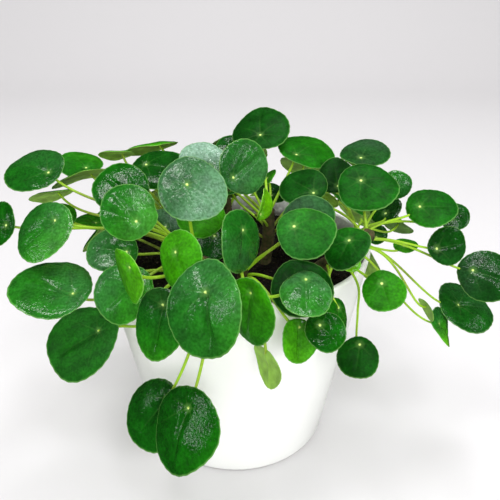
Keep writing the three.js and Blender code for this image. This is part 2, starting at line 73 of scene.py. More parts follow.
STEM_COLLAR = 2  # how far it stands straight out of the soil
STEM_SUNK = 8  # how far the shown stem goes down into the soil
STEM_NARROWS = 0.2  # share of its thickness that it loses on the way to the tip
STEM_LEAFY = (0.3, 0.98)  # petioles grow between these shares of its length
STEM_POINTS = 40
STEM_SIDES = 20
STEM_SCAR = 0.35  # how far the ring that a fallen leaf left stands out
STEM_SCARS = 7
STEM_SCAR_SHARP = 8
STEM_TIP = (0.6, 0.35)  # length and radius of its blunt end, as shares of its radius
STEM_BASE = SOIL_TOP + SOIL_CROWN + STEM_COLLAR

PETIOLE_FOOT = 1.25  # how much thicker it is where it leaves the stem
PETIOLE_FOOT_LONG = 0.06  # this swelling dies away over this share of its length
PETIOLE_NECK = 0.8  # and how much of its thickness is left under the blade
PETIOLE_POINTS = 28
PETIOLE_SIDES = 12
PETIOLE_OUTWARDS = 0.6  # it leaves the stem this much outwards
PETIOLE_UPWARDS = 0.8  # and this much upwards
PETIOLE_START = 0.36  # pull at its start, as a share of its reach
PETIOLE_UNDER = 0.2  # how far under the blade it comes from, as a share of its reach
PETIOLE_SHORT = 0.16  # and how far short of the dot
LIP_RADIUS = 85  # the lip that petioles arch over
ARCH_INSIDE = 10  # one arches when it starts this far inside the lip or farther
ARCH_LOW = 8  # and ends less than this above it
ARCH_OUTSIDE = 12  # how far outside the lip the arch is pulled
ARCH_RISE = 30  # how far above it
ARCH_LIFT = 0.35  # and how much more for each mm that the blade hangs below the lip
ARCH_UNDER = 12  # how far under the blade it comes from

BLADE_THICK = 0.8
BLADE_RIM_THICK = 0.4
BLADE_SPOKES = 96
BLADE_RINGS = 20
BLADE_UV_MM = 100  # the blade's own map is this wide
# The rest of the blade's shape is in shares of its radius.
BLADE_SLIM = 0.96  # its width as a share of its length
BLADE_DOT_AT = 0.34  # how far the dot lies from the middle
BLADE_DOT_WITHIN = 0.62  # and the farthest it may lie
BLADE_DOT_TOO_NEAR = 0.08  # a dot nearer than this doesn't show which way the tip points
BLADE_DOME = 0.1  # how far its edge bends down
BLADE_WAVE = 0.07  # how far its edge waves up and down
BLADE_FOLD_SOFT = 0.14  # a fold is rounded off over this width
BLADE_SCALLOP_3 = 0.022  # depth of the three and the five soft bulges of its outline
BLADE_SCALLOP_5 = 0.012
CRENATE = 0.007  # the edge's own small teeth
CRENATE_COUNT = 24
NOTCH_WIDE = 0.2  # half the width of a dent in the edge, radians
DIMPLE = 0.05  # how deep the blade sinks where the petiole holds it
DIMPLE_WIDE = 0.13
ROLL = 0.03  # how far the rim rolls down
ROLL_FROM = 0.8
RIB = 0.02  # depth of the groove along the main vein
RIB_WIDE = 0.1
RIB_GROWS = 0.1  # it reaches its full depth this far past the dot
WRINKLES = [(1.5, 0.016), (0.9, 0.009), (0.55, 0.004)]  # (length, depth)
WRINKLES_GROW = 0.3  # they reach their full depth this far from the dot
CREASE_COUNT = 3  # on a leaf whose row gives none
CREASE_HEIGHTS = (-0.035, 0.035)
CREASE_WIDE = 0.16
CREASE_GROWS = 0.3
CREASE_FADES = 0.6  # how much of a crease is lost on the way to the edge
CALM_FROM = 0.6  # the rib's groove and the creases fade from this share of the way to the edge
RING_AT = 0.32  # the soft round ridge or groove on a leaf whose row gives none
RING_HEIGHT = 0.015
RING_WIDE = 0.12

# The view that the readings were taken in, a 500 px square.
EYE = Vector((9, -311, 275))
EYE_DOWN = math.radians(25)
FOCAL_PX = 530
MIDDLE_PX = 250
PHOTO_PX = 500
SENSOR_MM = 36

# Colours, as sRGB hex. The flesh of a leaf darkens with its age, from 0 to 1; the age that its material reads
# also carries painted shade.
LEAF_AGES = [
    (0.0, "#6CB006"), (0.15, "#4C9A04"), (0.3, "#368704"), (0.5, "#267305"),
    (0.65, "#156105"), (0.8, "#0B4E06"), (1.0, "#083A06"),
]
LEAF_VEIN = "#8FC765"
LEAF_DOT = "#D6EE86"
LEAF_RIM = "#8CC468"
# Painted sheen: the pale blue-green of the lamps' reflection, laid into the leaf's colour.
PAINTED_SHEEN_COLOUR = "#B4D6C4"
# Undersides: their own paler green, the young end paler still as painted light shining through the thin
# blade.
UNDER_YOUNG_LIT_THROUGH = "#AADC54"
UNDER_OLD = "#558030"
PETIOLE_BRIGHT = "#96C626"
PETIOLE_OLIVE = "#75832C"
PETIOLE_PALE = "#C2DC66"
STEM_GREEN = "#3B3F1B"
STEM_CORK = "#5A4B30"
SOIL_BLACK = "#0D0907"
SOIL_BROWN = "#20160E"
SOIL_FLECK = "#7A6A52"
POT_WHITE = "#F7F8F5"
POT_OFF_WHITE = "#F2F3EF"
# Soil dust inside the pot, made dark enough to serve also as painted shade under the leaves.
DUST_AND_SHADE = "#3B2F24"
PAPER = "#D8D6D7"
AIR_COLOUR = "#FFFFFF"

# Sizes of grain, mm. The leaf's pebbles are drawn about twice as coarse as the real ones, so that they show.
LEAF_CLOUD_MM = 7
LEAF_PEBBLE_MM = 1.3
LEAF_SHEEN_MM = 5
DUST_AND_SHADE_MM = 13  # how high above the soil the pot's inside is dusty and darkened with painted shade
DUST_AND_SHADE_GRAIN_MM = 4
POT_SWELL_MM = 60
POT_RIPPLE_MM = 8

# What a leaf's flesh, its painted sheen and its painted shade are like where its row doesn't say.
BACK_AGES = (0.6, 0.95)
BACK_PAINTED_SHEEN = 0.03
BACK_SHADE = 0.12
PAINTED_SHEEN_EVEN = 0.3  # this share of the painted sheen lies all over the blade
PAINTED_SHEEN_SPREAD = (-0.3, 0.5)  # the painted sheen grows from none to full between these shares of the radius
DOT_SHADE = 0.08  # painted shade: how much darker, in age, the flesh is round the dot
DOT_SHADE_WIDE = 0.4

# What the leaf's material reads at each point, and how it turns that into tones. The pairs run from the low
# end of the reading to its high end.
LEAF_ATTRIBUTES = ("edge", "under", "age", "painted_sheen")
NOISE_SPAN = (0.3, 0.7)  # most of a noise lies between these
LEAF_CLOUDS = (0.7, 1.3)  # how much darker and lighter the tone of the flesh gets from place to place
LEAF_PEBBLES = (0.76, 1.26)
PEBBLE_SLOPES = (0.35, 0.65)  # the noise in the grooves and on the pebbles
PAINTED_SHEEN_ON_PEBBLES = (0.4, 0.8)  # and how much of the painted sheen lies there
LEAF_VEINS = 7.0
LEAF_VEIN_MM = (0.1, 0.7)  # a vein is full and gone at these distances from its line
LEAF_VEINS_FADE = (0.0, 0.8)  # and at these shares of the way to the edge
LEAF_VEIN_TINT = 0.06
LEAF_HALO_MM = (0.4, 3.0)
LEAF_HALO_TINT = 0.22
LEAF_DOT_MM = (0.35, 0.85)
LEAF_RIM_AT = (0.972, 0.998)
LEAF_RIM_TINT = 0.32
UNDER_AT = (0.4, 0.6)  # the attribute is 0 on the upper face, 0.5 on the rim and 1 on the underside
UNDER_ROUGHNESS = 0.6
# name, index of refraction, roughness from its smoothest to its roughest
GLOSSY_SKIN = ("glossy_pilea_leaf", 1.46, (0.12, 0.2))
DULL_SKIN = ("dull_pilea_leaf", 1.2, (0.4, 0.5))
# Bumps: strength, depth in mm
PEBBLE_BUMP = (0.8, 0.3)
CLOUD_BUMP = (0.2, 1.0)
VEIN_BUMP = (0.25, -0.3)
RIPPLE_BUMP = (0.15, 0.3)
# and for the layered skins also which layer makes it
PETIOLE_BUMP = (1, 0.3, 0.2)
STEM_BUMP = (0, 0.8, 0.6)
SOIL_BUMP = (0, 1.0, 1.5)

# Layers of colour over a ground: colour, size of its patches in mm, detail of their noise, the noise at which
# it starts and is full, and how much of it shows there.
PETIOLE_LAYERS = [(PETIOLE_OLIVE, 26, 2.0, (0.45, 0.7), 1.0), (PETIOLE_PALE, 2.2, 2.0, (0.5, 0.8), 0.4)]
STEM_LAYERS = [(STEM_CORK, 3, 4.0, (0.4, 0.65), 1.0)]
SOIL_LAYERS = [(SOIL_BROWN, 3, 5.0, (0.4, 0.75), 1.0), (SOIL_FLECK, 2, 1.0, (0.68, 0.74), 0.4)]
DUST_AND_SHADE_GRAINS = (0.25, 0.5)
DUST_AND_SHADE_STARTS = 2  # mm below the soil's edge
POT_SATIN = (0.32, 0.42)  # roughness
POT_INSIDE = (0.6, 0.5)  # from this share of the wall inwards, over this many mm, the pot counts as inside

# The studio sheet, mm: level from front to back, then curved up and straight on.
SHEET_LEVEL = (-1500, 600, 1500)
SHEET_BEND = 900
SHEET_TOP = 2600
SHEET_HALF_WIDTH = 3000
AIR_STRENGTH = 0.77
AIR_IN_GLOSS = 0.02  # flags round the set keep it dark in what the leaves reflect
LAMP_TARGET = Vector((0, 0, 0.12))
# name, place in metres, size in metres, power in watts, colour, whether the leaves mirror it
LAMPS = [
    ("overhead_front_left", (-0.3, -0.4, 1.15), 0.24, 2.4, "#FFFFFF", True),
    ("overhead_back", (0.19, 0.17, 1.25), 0.24, 2.2, "#FAFCFF", True),
    ("overhead_front_right", (0.28, -0.57, 1.12), 0.2, 1.6, "#FAFCFF", True),
    ("low_left", (-1.5, -0.75, 0.95), 0.36, 2.6, "#F6FAFF", True),
    ("low_right", (1.5, -0.6, 1.1), 0.36, 2.0, "#F6FAFF", True),
    ("ceiling", (0, 0.9, 2.4), 3.0, 22, "#FFFFFF", False),
    ("front_fill", (0.5, -1.7, 0.9), 1.2, 20, "#FFFFFF", False),
]

# ---------------------------------------------------------------- the shoots and their leaves
#
# A leaf that the photograph shows has
#   at     pixel of the blade's middle         dot     pixel where the petiole meets it
#   depth  Y of the blade's middle, mm         across  the blade's full length, mm
#   open   how far the face turns to the viewer: 1 full face, 0 edge on, below 0 the underside shows
#   lean   which way the face leans, degrees in the view: 0 right, 90 up, 180 left
# A leaf that it hides has
#   spot   its blade's middle, mm              faces   degrees (round from +X, above the horizon)
# Either may have
#   fold   how far its halves fold up along the midrib      slim   its width as a share of its length
#   over   two points that pull its petiole, mm             through  points that its petiole passes, mm
#   age    0 young and yellow-green, 1 old and dark         rib    depth of the groove along the main vein
#   creases  ridges, and grooves below 0, that run out from the dot: (way in the view, degrees, height)
#   ring   (how far from the dot a round ridge or groove lies, its height), as shares of the radius
#   bloom  (how much pale painted sheen lies over it, the way in which it grows in the view, degrees)
#   dull   True where its wax is worn dull
#   shade  (how much darker painted shade makes its flesh, in age, the way in which it gets so in the view,
#   degrees)
#   notch  (degrees from the tip, depth) of a dent in the edge
# A shoot's thick is its stem's, and petioles is how thick those are, in mm. The points of its stem are
# (x, y, height over its collar).
SHOOTS = [
    dict(
        name="shoot_left", thick=7, petioles=1.8, stem=[(-27, -27, 0), (-29, -32, 8), (-30, -38, 20)],
        leaves=[
            dict(at=(32, 167), dot=(49, 171), depth=-12, across=36, open=0.58, lean=120, age=0.77, rib=0.05,
                 creases=[(150, 0.04)], painted_sheen=(0.03, 80)),
            dict(at=(52, 193), depth=4, across=28, open=-0.2, lean=104, age=0.45),
            dict(at=(42, 231), dot=(54, 220), depth=-44, across=36, open=0.7, lean=150, fold=0.14, age=0.62,
                 rib=0.1, creases=[(228, 0.07), (200, -0.05)], painted_sheen=(0.06, 0), shade=(0.2, 150)),
            dict(at=(61, 213), depth=-4, across=19, open=0.77, lean=90, age=0.6),
            dict(at=(-4, 223), dot=(5, 225), depth=-25, across=28, open=0.58, lean=165, age=0.8,
                 painted_sheen=(0, 0)),
            dict(at=(92, 220), depth=12, across=24, open=0.45, lean=90,
                 through=[(-60, -12, 143), (-82, 6, 141)], age=0.5),
            dict(at=(121, 188), depth=-38, across=31, open=0.93, lean=110, age=0.82, rib=0.03, painted_sheen=(0, 0)),
            dict(at=(128, 211), dot=(136, 221), depth=-66, across=29, open=0.97, lean=120, age=0.56,
                 rib=0.05, creases=[(100, 0.05), (160, -0.05), (20, 0.04)], ring=(0.3, 0.05),
                 painted_sheen=(0.06, 0), shade=(0.2, 150), notch=(-119, 0.07)),
            dict(at=(111, 249), dot=(126, 251), depth=-50, across=28, open=0.88, lean=120, age=0.7, rib=0.06,
                 creases=[(180, -0.04)], ring=(0.4, -0.05), painted_sheen=(0.08, 180)),
            dict(at=(163, 222), depth=-14, across=22, open=0.8, lean=90, age=0.78, painted_sheen=(0.25, 60)),
        ],
    ),
    dict(
        name="shoot_front_left", thick=7, petioles=1.9, stem=[(-12, -44, 0), (-14, -49, 8), (-16, -54, 18)],
        leaves=[
            dict(at=(193, 188), dot=(187, 184), depth=-62, across=35, open=0.92, lean=80, age=0.74, rib=0.1,
                 creases=[(-34, 0.09), (150, -0.03)], painted_sheen=(0.36, -30)),
            dict(at=(178, 260), dot=(175, 252), depth=-88, across=30, open=0.72, lean=175, slim=0.86,
                 age=0.32, creases=[(80, 0.01)], painted_sheen=(0, 0), dull=True),
            dict(at=(210, 245), dot=(215, 234), depth=-40, across=21, open=0.9, lean=90,
                 through=[(-14, -44, 141), (-11, -34, 147)], age=0.95),
            dict(at=(205, 309), dot=(204, 292), depth=-113, across=44, open=0.86, lean=175, fold=0.2,
                 slim=0.84, age=0.67, rib=0.16,
                 creases=[(-62, 0.09), (118, -0.04), (40, -0.04), (200, 0.03)], painted_sheen=(0.06, 60),
                 shade=(0.12, 180)),
            dict(at=(158, 324), dot=(162, 305), depth=-94, across=36, open=0.86, lean=190, slim=0.78,
                 through=[(-22, -66, 148), (-30, -82, 144)], age=0.75, rib=0.12, painted_sheen=(0.02, 40),
                 shade=(0.2, 90)),
            dict(at=(122, 293), dot=(136, 281), depth=-74, across=32, open=0.93, lean=160,
                 through=[(-34, -55, 147), (-46, -62, 143)], age=0.6, rib=0.08, creases=[(-80, -0.05)],
                 painted_sheen=(0.06, 150)),
            dict(at=(125, 277), dot=(128, 267), depth=-94, across=28, open=0.3, lean=200,
                 over=[(-24, -68, 150), (-46, -84, 148)], age=0.25, painted_sheen=(0, 0), dull=True),
            dict(at=(51, 284), dot=(75, 293), depth=-60, across=44, open=0.69, lean=102,
                 through=[(-46, -57, 144), (-63, -61, 141), (-76, -62, 129)], age=0.66, rib=0.05,
                 creases=[(100, 0.05), (172, -0.05), (-20, 0.04)], painted_sheen=(0.06, 30)),
            dict(at=(80, 341), dot=(97, 330), depth=-56, across=46, open=0.8, lean=150,
                 through=[(-24, -66, 148), (-36, -80, 143), (-48, -74, 122), (-68, -50, 104)], age=0.7,
                 rib=0.1, creases=[(215, 0.06), (60, -0.02)], painted_sheen=(0.03, 60), dull=True),
            dict(at=(152, 415), dot=(166, 398), depth=-93, across=39, open=0.76, lean=180,
                 over=[(-9, -114, 172), (-18, -80, 110)], age=0.88, rib=0.05),
            dict(at=(181, 430), dot=(187, 408), depth=-110, across=43, open=0.76, lean=178,
                 over=[(-4, -114, 174), (-14, -80, 102)], age=0.82, rib=0.06,
                 creases=[(-92, 0.05), (95, 0.05)], painted_sheen=(0, 0), shade=(0.1, 150)),
        ],
    ),
    dict(
        name="shoot_front", thick=6.5, petioles=1.8, stem=[(4, -50, 0), (5, -54, 7), (5, -58, 14)],
        leaves=[
            dict(at=(306, 231), dot=(294, 226), depth=-84, across=28, open=0.88, lean=100, age=0.68,
                 rib=0.02, creases=[(180, 0.015)], painted_sheen=(0.024, 180), dull=True),
            dict(at=(309, 217), depth=-60, across=27, open=0.9, lean=90, age=0.92, painted_sheen=(0.06, 90),
                 dull=True),
            dict(at=(306, 292), dot=(306, 270), depth=-99, across=25, open=0.81, lean=80,
                 over=[(4, -94, 152), (18, -94, 141)], age=0.62, rib=0.06,
                 creases=[(180, 0.07), (-10, -0.05), (95, 0.05)], ring=(0.45, 0.05), painted_sheen=(0.1, 80)),
            dict(at=(302, 287), depth=-82, across=31, open=0.95, lean=90, age=0.95, painted_sheen=(0, 0), dull=True),
            dict(at=(299, 341), dot=(300, 324), depth=-92, across=22, open=0.82, lean=0, fold=0.25,
                 through=[(11, -68, 145), (20, -81, 141), (29, -86, 130)], age=0.28, rib=0.1),
            dict(at=(247, 313), dot=(249, 293), depth=-99, across=33, open=0.62, lean=202,
                 over=[(4, -80, 160), (6, -92, 152)], age=0.5, rib=0.05, painted_sheen=(0, 0), dull=True),
            dict(at=(269, 365), dot=(267, 352), depth=-98, across=23, open=-0.42, lean=25,
                 over=[(8, -100, 165), (18, -110, 132)], age=0.45, rib=0.05),
            dict(at=(243, 242), dot=(244, 230), depth=-70, across=32, open=0.62, lean=0, age=0.72, rib=0.04,
                 painted_sheen=(0.048, 240)),
        ],
    ),
    dict(
        name="shoot_middle", thick=8, petioles=1.7, stem=[(18, -14, 0), (20, -16, 14), (20, -20, 34)],
        leaves=[
            dict(at=(203, 162), depth=-18, across=28, open=0.9, lean=100, age=0.75, rib=0.04,
                 painted_sheen=(0.7, 90)),
            dict(at=(232, 148), depth=26, across=22, open=0.82, lean=95, age=0.95, creases=[(40, 0.04)]),
            dict(at=(260, 127), depth=10, across=37, open=0.65, lean=105, age=0.92, rib=0.03, painted_sheen=(0, 0),
                 dull=True),
            dict(at=(246, 167), dot=(233, 178), depth=-40, across=30, open=0.86, lean=10, age=0.7, rib=0.08,
                 creases=[(60, -0.08), (-20, 0.05)], painted_sheen=(0.1, -45)),
            dict(at=(307, 148), dot=(294, 155), depth=6, across=37, open=0.46, lean=72, age=0.64, rib=0.03,
                 painted_sheen=(0, 0), dull=True),
            dict(at=(268, 176), depth=-2, across=12, open=0.4, lean=135, age=0.5),
            dict(at=(264, 205), dot=(261, 217), depth=-48, across=17, open=0.38, lean=-10, fold=0.3,
                 age=0.08),
            dict(at=(272, 192), depth=12, across=20, open=0.6, lean=80, age=0.95),
            dict(at=(201, 215), depth=-28, across=28, open=0.9, lean=90, age=0.4, rib=0.03, painted_sheen=(0, 0),
                 dull=True),
            dict(at=(330, 200), depth=-8, across=12, open=-0.6, lean=60, age=0.2),
            dict(spot=(-6, 6, 167), faces=(120, 65), across=30, age=0.85, rib=0.05),
            dict(spot=(42, 8, 166), faces=(30, 60), across=28, age=0.85, rib=0.05),
        ],
    ),
    dict(
        name="shoot_right", thick=8, petioles=1.5, stem=[(42, -38, 0), (55, -56, 21), (68, -70, 40)],
        leaves=[
            dict(at=(302, 185), dot=(314, 192), depth=-26, across=28, open=0.72, lean=105, age=0.88,
                 rib=0.04, painted_sheen=(0, 0), dull=True),
            dict(at=(336, 175), dot=(338, 186), depth=-14, across=22, open=0.92, lean=90, age=0.95,
                 painted_sheen=(0, 0), dull=True),
            dict(at=(368, 185), dot=(361, 180), depth=-54, across=31, open=0.78, lean=85, age=0.78, rib=0.03,
                 creases=[(0, 0.01)], painted_sheen=(0, 0), dull=True),
            dict(at=(365, 150), dot=(361, 157), depth=-24, across=28, open=0.51, lean=87, age=0.9, rib=0.03,
                 painted_sheen=(0.06, 90), dull=True),
            dict(at=(397, 184), depth=-22, across=17, open=0.95, lean=60, age=0.72),
            dict(at=(385, 209), depth=-18, across=20, open=0.7, lean=120, age=0.98),
            dict(at=(399, 225), depth=-2, across=20, open=-0.35, lean=68, age=0.95),
            dict(at=(377, 234), depth=-8, across=13, open=0.95, lean=90,
                 through=[(74, -22, 158), (80, 0, 150)], age=0.9),
            dict(at=(406, 244), depth=-36, across=14, open=0.56, lean=85, age=0.4, painted_sheen=(0, 0), dull=True,
                 shade=(0, 0)),
            dict(at=(432, 206), dot=(420, 206), depth=-42, across=27, open=0.78, lean=80, age=0.72, rib=0.05,
                 painted_sheen=(0, 0), dull=True),
            dict(at=(455, 216), depth=-18, across=18, open=0.9, lean=60, age=0.97),
            dict(at=(449, 246), dot=(436, 249), depth=-50, across=22, open=0.88, lean=0, age=0.95, rib=0.06,
                 creases=[(30, -0.05), (200, 0.05)]),
            dict(at=(487, 275), dot=(473, 270), depth=-46, across=31, open=0.96, lean=60, age=0.97, rib=0.04,
                 creases=[(160, 0.07), (60, -0.04)], painted_sheen=(0.032, 150)),
            dict(at=(468, 305), depth=-28, across=38, open=0.62, lean=45, age=0.82, rib=0.08,
                 creases=[(-40, 0.05), (140, 0.03)], painted_sheen=(0.032, 60)),
            dict(at=(443, 327), depth=-40, across=25, open=0.31, lean=15, fold=0.2, age=0.45, rib=0.1,
                 shade=(0.5, 100)),
            dict(at=(428, 309), depth=-52, across=15, open=-0.26, lean=30, age=0.6),
            dict(at=(384, 290), depth=-84, across=22, open=0.91, lean=90, age=0.52, rib=0.05, painted_sheen=(0, 0),
                 dull=True),
            dict(at=(358, 357), dot=(360, 343), depth=-80, across=23, open=0.95, lean=90,
                 through=[(58, -58, 150), (66, -64, 140), (68, -62, 122), (68, -66, 106)], age=0.9, rib=0.05,
                 painted_sheen=(0, 0), dull=True),
            dict(at=(338, 322), dot=(340, 302), depth=-84, across=24, open=0.48, lean=0,
                 through=[(50, -66, 148), (50, -78, 142)], age=0.68, rib=0.05, painted_sheen=(0, 0)),
            dict(at=(346, 246), dot=(349, 240), depth=-80, across=24, open=0.8, lean=120, age=0.82, rib=0.02,
                 painted_sheen=(0, 0), dull=True, shade=(0.15, 270)),
            dict(at=(352, 264), depth=-67, across=9, open=0.88, lean=90, age=0.02),
            dict(at=(326, 331), dot=(320, 325), depth=-100, across=20, open=0.95, lean=60,
                 through=[(52, -66, 154), (45, -82, 144), (40, -92, 133)], age=0.8, rib=0.05,
                 creases=[(60, 0.06), (150, -0.05)], ring=(0.5, 0.06), painted_sheen=(0, 0)),
        ],
    ),
    dict(
        name="shoot_back_left", thick=6.5, petioles=1.8, stem=[(-38, 6, 0), (-41, 9, 10), (-44, 11, 24)],
        leaves=[
            dict(at=(80, 161), dot=(86, 167), depth=44, across=31, open=0.52, lean=95, age=0.6, rib=0.03,
                 painted_sheen=(0, 0), dull=True),
            dict(at=(80, 175), depth=14, across=38, open=-0.14, lean=108, age=0.42),
            dict(at=(116, 153), depth=18, across=22, open=-0.25, lean=95, age=0.4),
            dict(at=(157, 166), dot=(146, 164), depth=-6, across=31, open=0.73, lean=110, age=0.9, rib=0.02),
            dict(spot=(-75, 50, 165), faces=(140, 55), across=34),
            dict(spot=(-95, 75, 130), faces=(140, 40), across=40),
            dict(spot=(-98, 34, 130), faces=(165, 35), across=38),
            dict(spot=(-98, 60, 84), faces=(155, 20), across=36),
            dict(spot=(-68, 79, 139), faces=(118, 50), across=34),
            dict(spot=(-44, 24, 173), faces=(150, 65), across=26),
        ],
    ),
    dict(
        name="shoot_back", thick=7, petioles=1.8, stem=[(-6, 36, 0), (-7, 40, 12), (-8, 44, 28)],
        leaves=[
            dict(at=(150, 145), depth=34, across=36, open=-0.15, lean=103, age=0.35),
            dict(spot=(-65, 112, 126), faces=(115, 35), across=40),
            dict(spot=(-22, 128, 125), faces=(100, 30), across=42),
            dict(spot=(24, 128, 116), faces=(85, 30), across=40),
            dict(spot=(-34, 112, 80), faces=(105, 15), across=40),
            dict(spot=(12, 112, 78), faces=(80, 10), across=36),
            dict(spot=(0, 55, 188), faces=(90, 60), across=34),
            dict(spot=(-38, 54, 176), faces=(110, 55), across=36),
            dict(spot=(4, 96, 172), faces=(90, 50), across=38),
            dict(spot=(-30, 84, 170), faces=(105, 55), across=30),
            dict(spot=(-22, 28, 162), faces=(100, 70), across=28),
            dict(spot=(12, 62, 162), faces=(70, 60), across=28),
        ],
    ),
    dict(
        name="shoot_back_right", thick=7, petioles=1.6, stem=[(42, 22, 0), (45, 25, 12), (48, 27, 28)],
        leaves=[
            dict(spot=(105, 48, 142), faces=(25, 45), across=38),
            dict(spot=(97, 90, 124), faces=(45, 35), across=38),
            dict(spot=(60, 120, 128), faces=(65, 35), across=42),
            dict(spot=(52, 62, 177), faces=(70, 60), across=34),
            dict(spot=(74, 18, 157), faces=(10, 60), across=28),
            dict(spot=(88, 46, 172), faces=(30, 55), across=34),
            dict(spot=(50, 95, 160), faces=(65, 50), across=36),
            dict(spot=(80, 78, 150), faces=(45, 50), across=34),
            dict(spot=(100, 58, 94), faces=(30, 20), across=38),
            dict(spot=(62, 100, 84), faces=(60, 15), across=34),
        ],
    ),
]

# ---------------------------------------------------------------- small helpers


def linear(hex_colour):
    """An sRGB hex colour as linear RGBA."""
    channels = [int(hex_colour[i:i + 2], 16) / 255 for i in (1, 3, 5)]
    return [c / 12.92 if c <= 0.04045 else ((c + 0.055) / 1.055) ** 2.4 for c in channels] + [1]


def add(tree, kind, links=None, **settings):
    """Adds a node and gives its first output. links sets its inputs, each to a value or another's output."""
    node = tree.nodes.new(kind)
    for name, value in settings.items():
        setattr(node, name, value)
    for key, value in (links or {}).items():
        named = (put for put in node.inputs if put.enabled and key in (put.identifier, put.name))
        socket = node.inputs[key] if isinstance(key, int) else next(named)
        if isinstance(value, bpy.types.NodeSocket):
            tree.links.new(value, socket)
        else:
            socket.default_value = value
    return next((output for output in node.outputs if output.enabled), node)


def draw(leaf, thing, number=1):
    """A leaf's own repeatable draw between 0 and 1. Where it has several of a thing, each has a number."""
    pace, size = SINE_HASH
    spread = math.sin((leaf["seed"] + DRAW_STEPS[thing] * number) * pace) * size
    return spread - math.floor(spread)


def lerp(a, b, share):
    """The value at this share of the way from a to b."""
    return a + (b - a) * share


def smooth(low, high, value):
    """0 below low, 1 above high, and an even slope between."""
    t = np.clip((value - low) / (high - low), 0, 1)
    return t * t * (3 - 2 * t)


def new_object(name, data):
    """A new object in the scene with this mesh, curve, lamp or camera."""
    piece = bpy.data.objects.new(name, data)
    bpy.context.scene.collection.objects.link(piece)
    return piece


def mesh_from(name, points_mm, faces):
    """A mesh from points in mm."""
    mesh = bpy.data.meshes.new(name)
    mesh.from_pydata([tuple(c * MM for c in p) for p in points_mm], [], faces)
    mesh.update()
    return mesh


def finish(piece, node):
    """Puts a finished piece in the place of its CAD node."""
    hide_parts(node)
    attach(piece, "root")


def drop(source):
    """Removes an object that a tree has been grown from, and its data."""
    data = source.data
    bpy.data.objects.remove(source)
    (bpy.data.meshes if isinstance(data, bpy.types.Mesh) else bpy.data.curves).remove(data)


# ---------------------------------------------------------------- where each leaf is

SIGHT_AHEAD = Vector((0, math.cos(EYE_DOWN), -math.sin(EYE_DOWN)))
SIGHT_UP = Vector((0, math.sin(EYE_DOWN), math.cos(EYE_DOWN)))
SIGHT_RIGHT = Vector((1, 0, 0))


def sight_line(pixel):
    """The sight line through a pixel, one unit long."""
    x, y = pixel
    ray = SIGHT_AHEAD + SIGHT_RIGHT * ((x - MIDDLE_PX) / FOCAL_PX) + SIGHT_UP * ((MIDDLE_PX - y) / FOCAL_PX)
    return ray.normalized()


def stance(leaf):
    """The blade's middle and the way its upper face points."""
    if "spot" in leaf:
        compass, height = (math.radians(angle) for angle in leaf["faces"])
        flat = math.cos(height)
        face = Vector((math.cos(compass) * flat, math.sin(compass) * flat, math.sin(height)))
        return Vector(leaf["spot"]), face
    sight = sight_line(leaf["at"])
    middle = EYE + sight * ((leaf["depth"] - EYE.y) / sight.y)
    right = sight.cross(SIGHT_UP).normalized()
    up = right.cross(sight)
    sideways = math.sqrt(1 - leaf["open"] ** 2)
    lean = math.radians(leaf["lean"])
    return middle, sight * -leaf["open"] + (right * math.cos(lean) + up * math.sin(lean)) * sideways


def dot_on(leaf, middle, face, radius, crown):
    """Where the petiole meets the blade's plane."""
    if "dot" in leaf:
        sight = sight_line(leaf["dot"])
        reach = (middle - EYE).dot(face) / sight.dot(face)
        off = EYE + sight * reach - middle
        limit = radius * BLADE_DOT_WITHIN
        return middle + (off.normalized() * limit if off.length > limit else off)
    home = crown - middle
    home -= face * home.dot(face)
    return middle + home.normalized() * radius * BLADE_DOT_AT


def on_plane(leaf, heading):
    """A way in the view, in degrees, as shares along the blade's tip and across it."""
    way = SIGHT_RIGHT * math.cos(math.radians(heading)) + SIGHT_UP * math.sin(math.radians(heading))
    along, across = way.dot(leaf["tip"]), way.dot(leaf["side"])
    length = math.hypot(along, across)
    return along / length, across / length


def grows_on(leaf, key, most):
    """How strong the leaf's painted sheen or painted shade gets, and the way along its plane in which it gets
    so.
    """
    if key in leaf:
        share, heading = leaf[key]
        return share, *on_plane(leaf, heading)
    turn = 2 * math.pi * draw(leaf, key + "_way")
    return most * draw(leaf, key), math.cos(turn), math.sin(turn)


def creases_on(leaf):
    """The ridges and grooves that run out from over the petiole: the way along the plane, and the height."""
    if "creases" in leaf:
        return [(*on_plane(leaf, heading), height) for heading, height in leaf["creases"]]
    drawn = []
    for k in range(CREASE_COUNT):
        turn = 2 * math.pi * (k + draw(leaf, "crease_way", k + 1)) / CREASE_COUNT
        height = lerp(*CREASE_HEIGHTS, draw(leaf, "crease_height", k + 1))
        drawn.append((math.cos(turn), math.sin(turn), height))
    return drawn


def settle(leaf, seed, crown):
    """A leaf with its own frame: tip runs from the dot through the middle, side across it, face up."""
    radius = leaf["across"] / 2
    middle, face = stance(leaf)
    dot = dot_on(leaf, middle, face, radius, crown)
    tip = middle - dot
    if tip.length < BLADE_DOT_TOO_NEAR * radius:
        tip = middle - crown
    tip = (tip - face * tip.dot(face)).normalized()
    side = face.cross(tip)
    off = (dot - middle) / radius
    return dict(leaf, seed=seed, radius=radius, middle=middle, face=face, tip=tip, side=side,
                dot_along=off.dot(tip), dot_across=off.dot(side))


# ---------------------------------------------------------------- the blade's surface
#
# along and across are measured from the blade's middle, along its tip and its side, as shares of its radius.


def edge_share(leaf, angle):
    """How far out the edge lies at an angle from the tip."""
    turn = 2 * math.pi * draw(leaf, "bulges")
    uneven = BLADE_SCALLOP_3 * np.cos(3 * angle + turn) + BLADE_SCALLOP_5 * np.cos(5 * angle - turn)
    teeth = CRENATE * np.cos(CRENATE_COUNT * angle)
    dent = 0
    if "notch" in leaf:
        where, depth = leaf["notch"]
        off = np.angle(np.exp(1j * (angle - math.radians(where))))
        dent = depth * np.exp(-(off / NOTCH_WIDE) ** 2)
    return 1 + uneven + teeth - dent


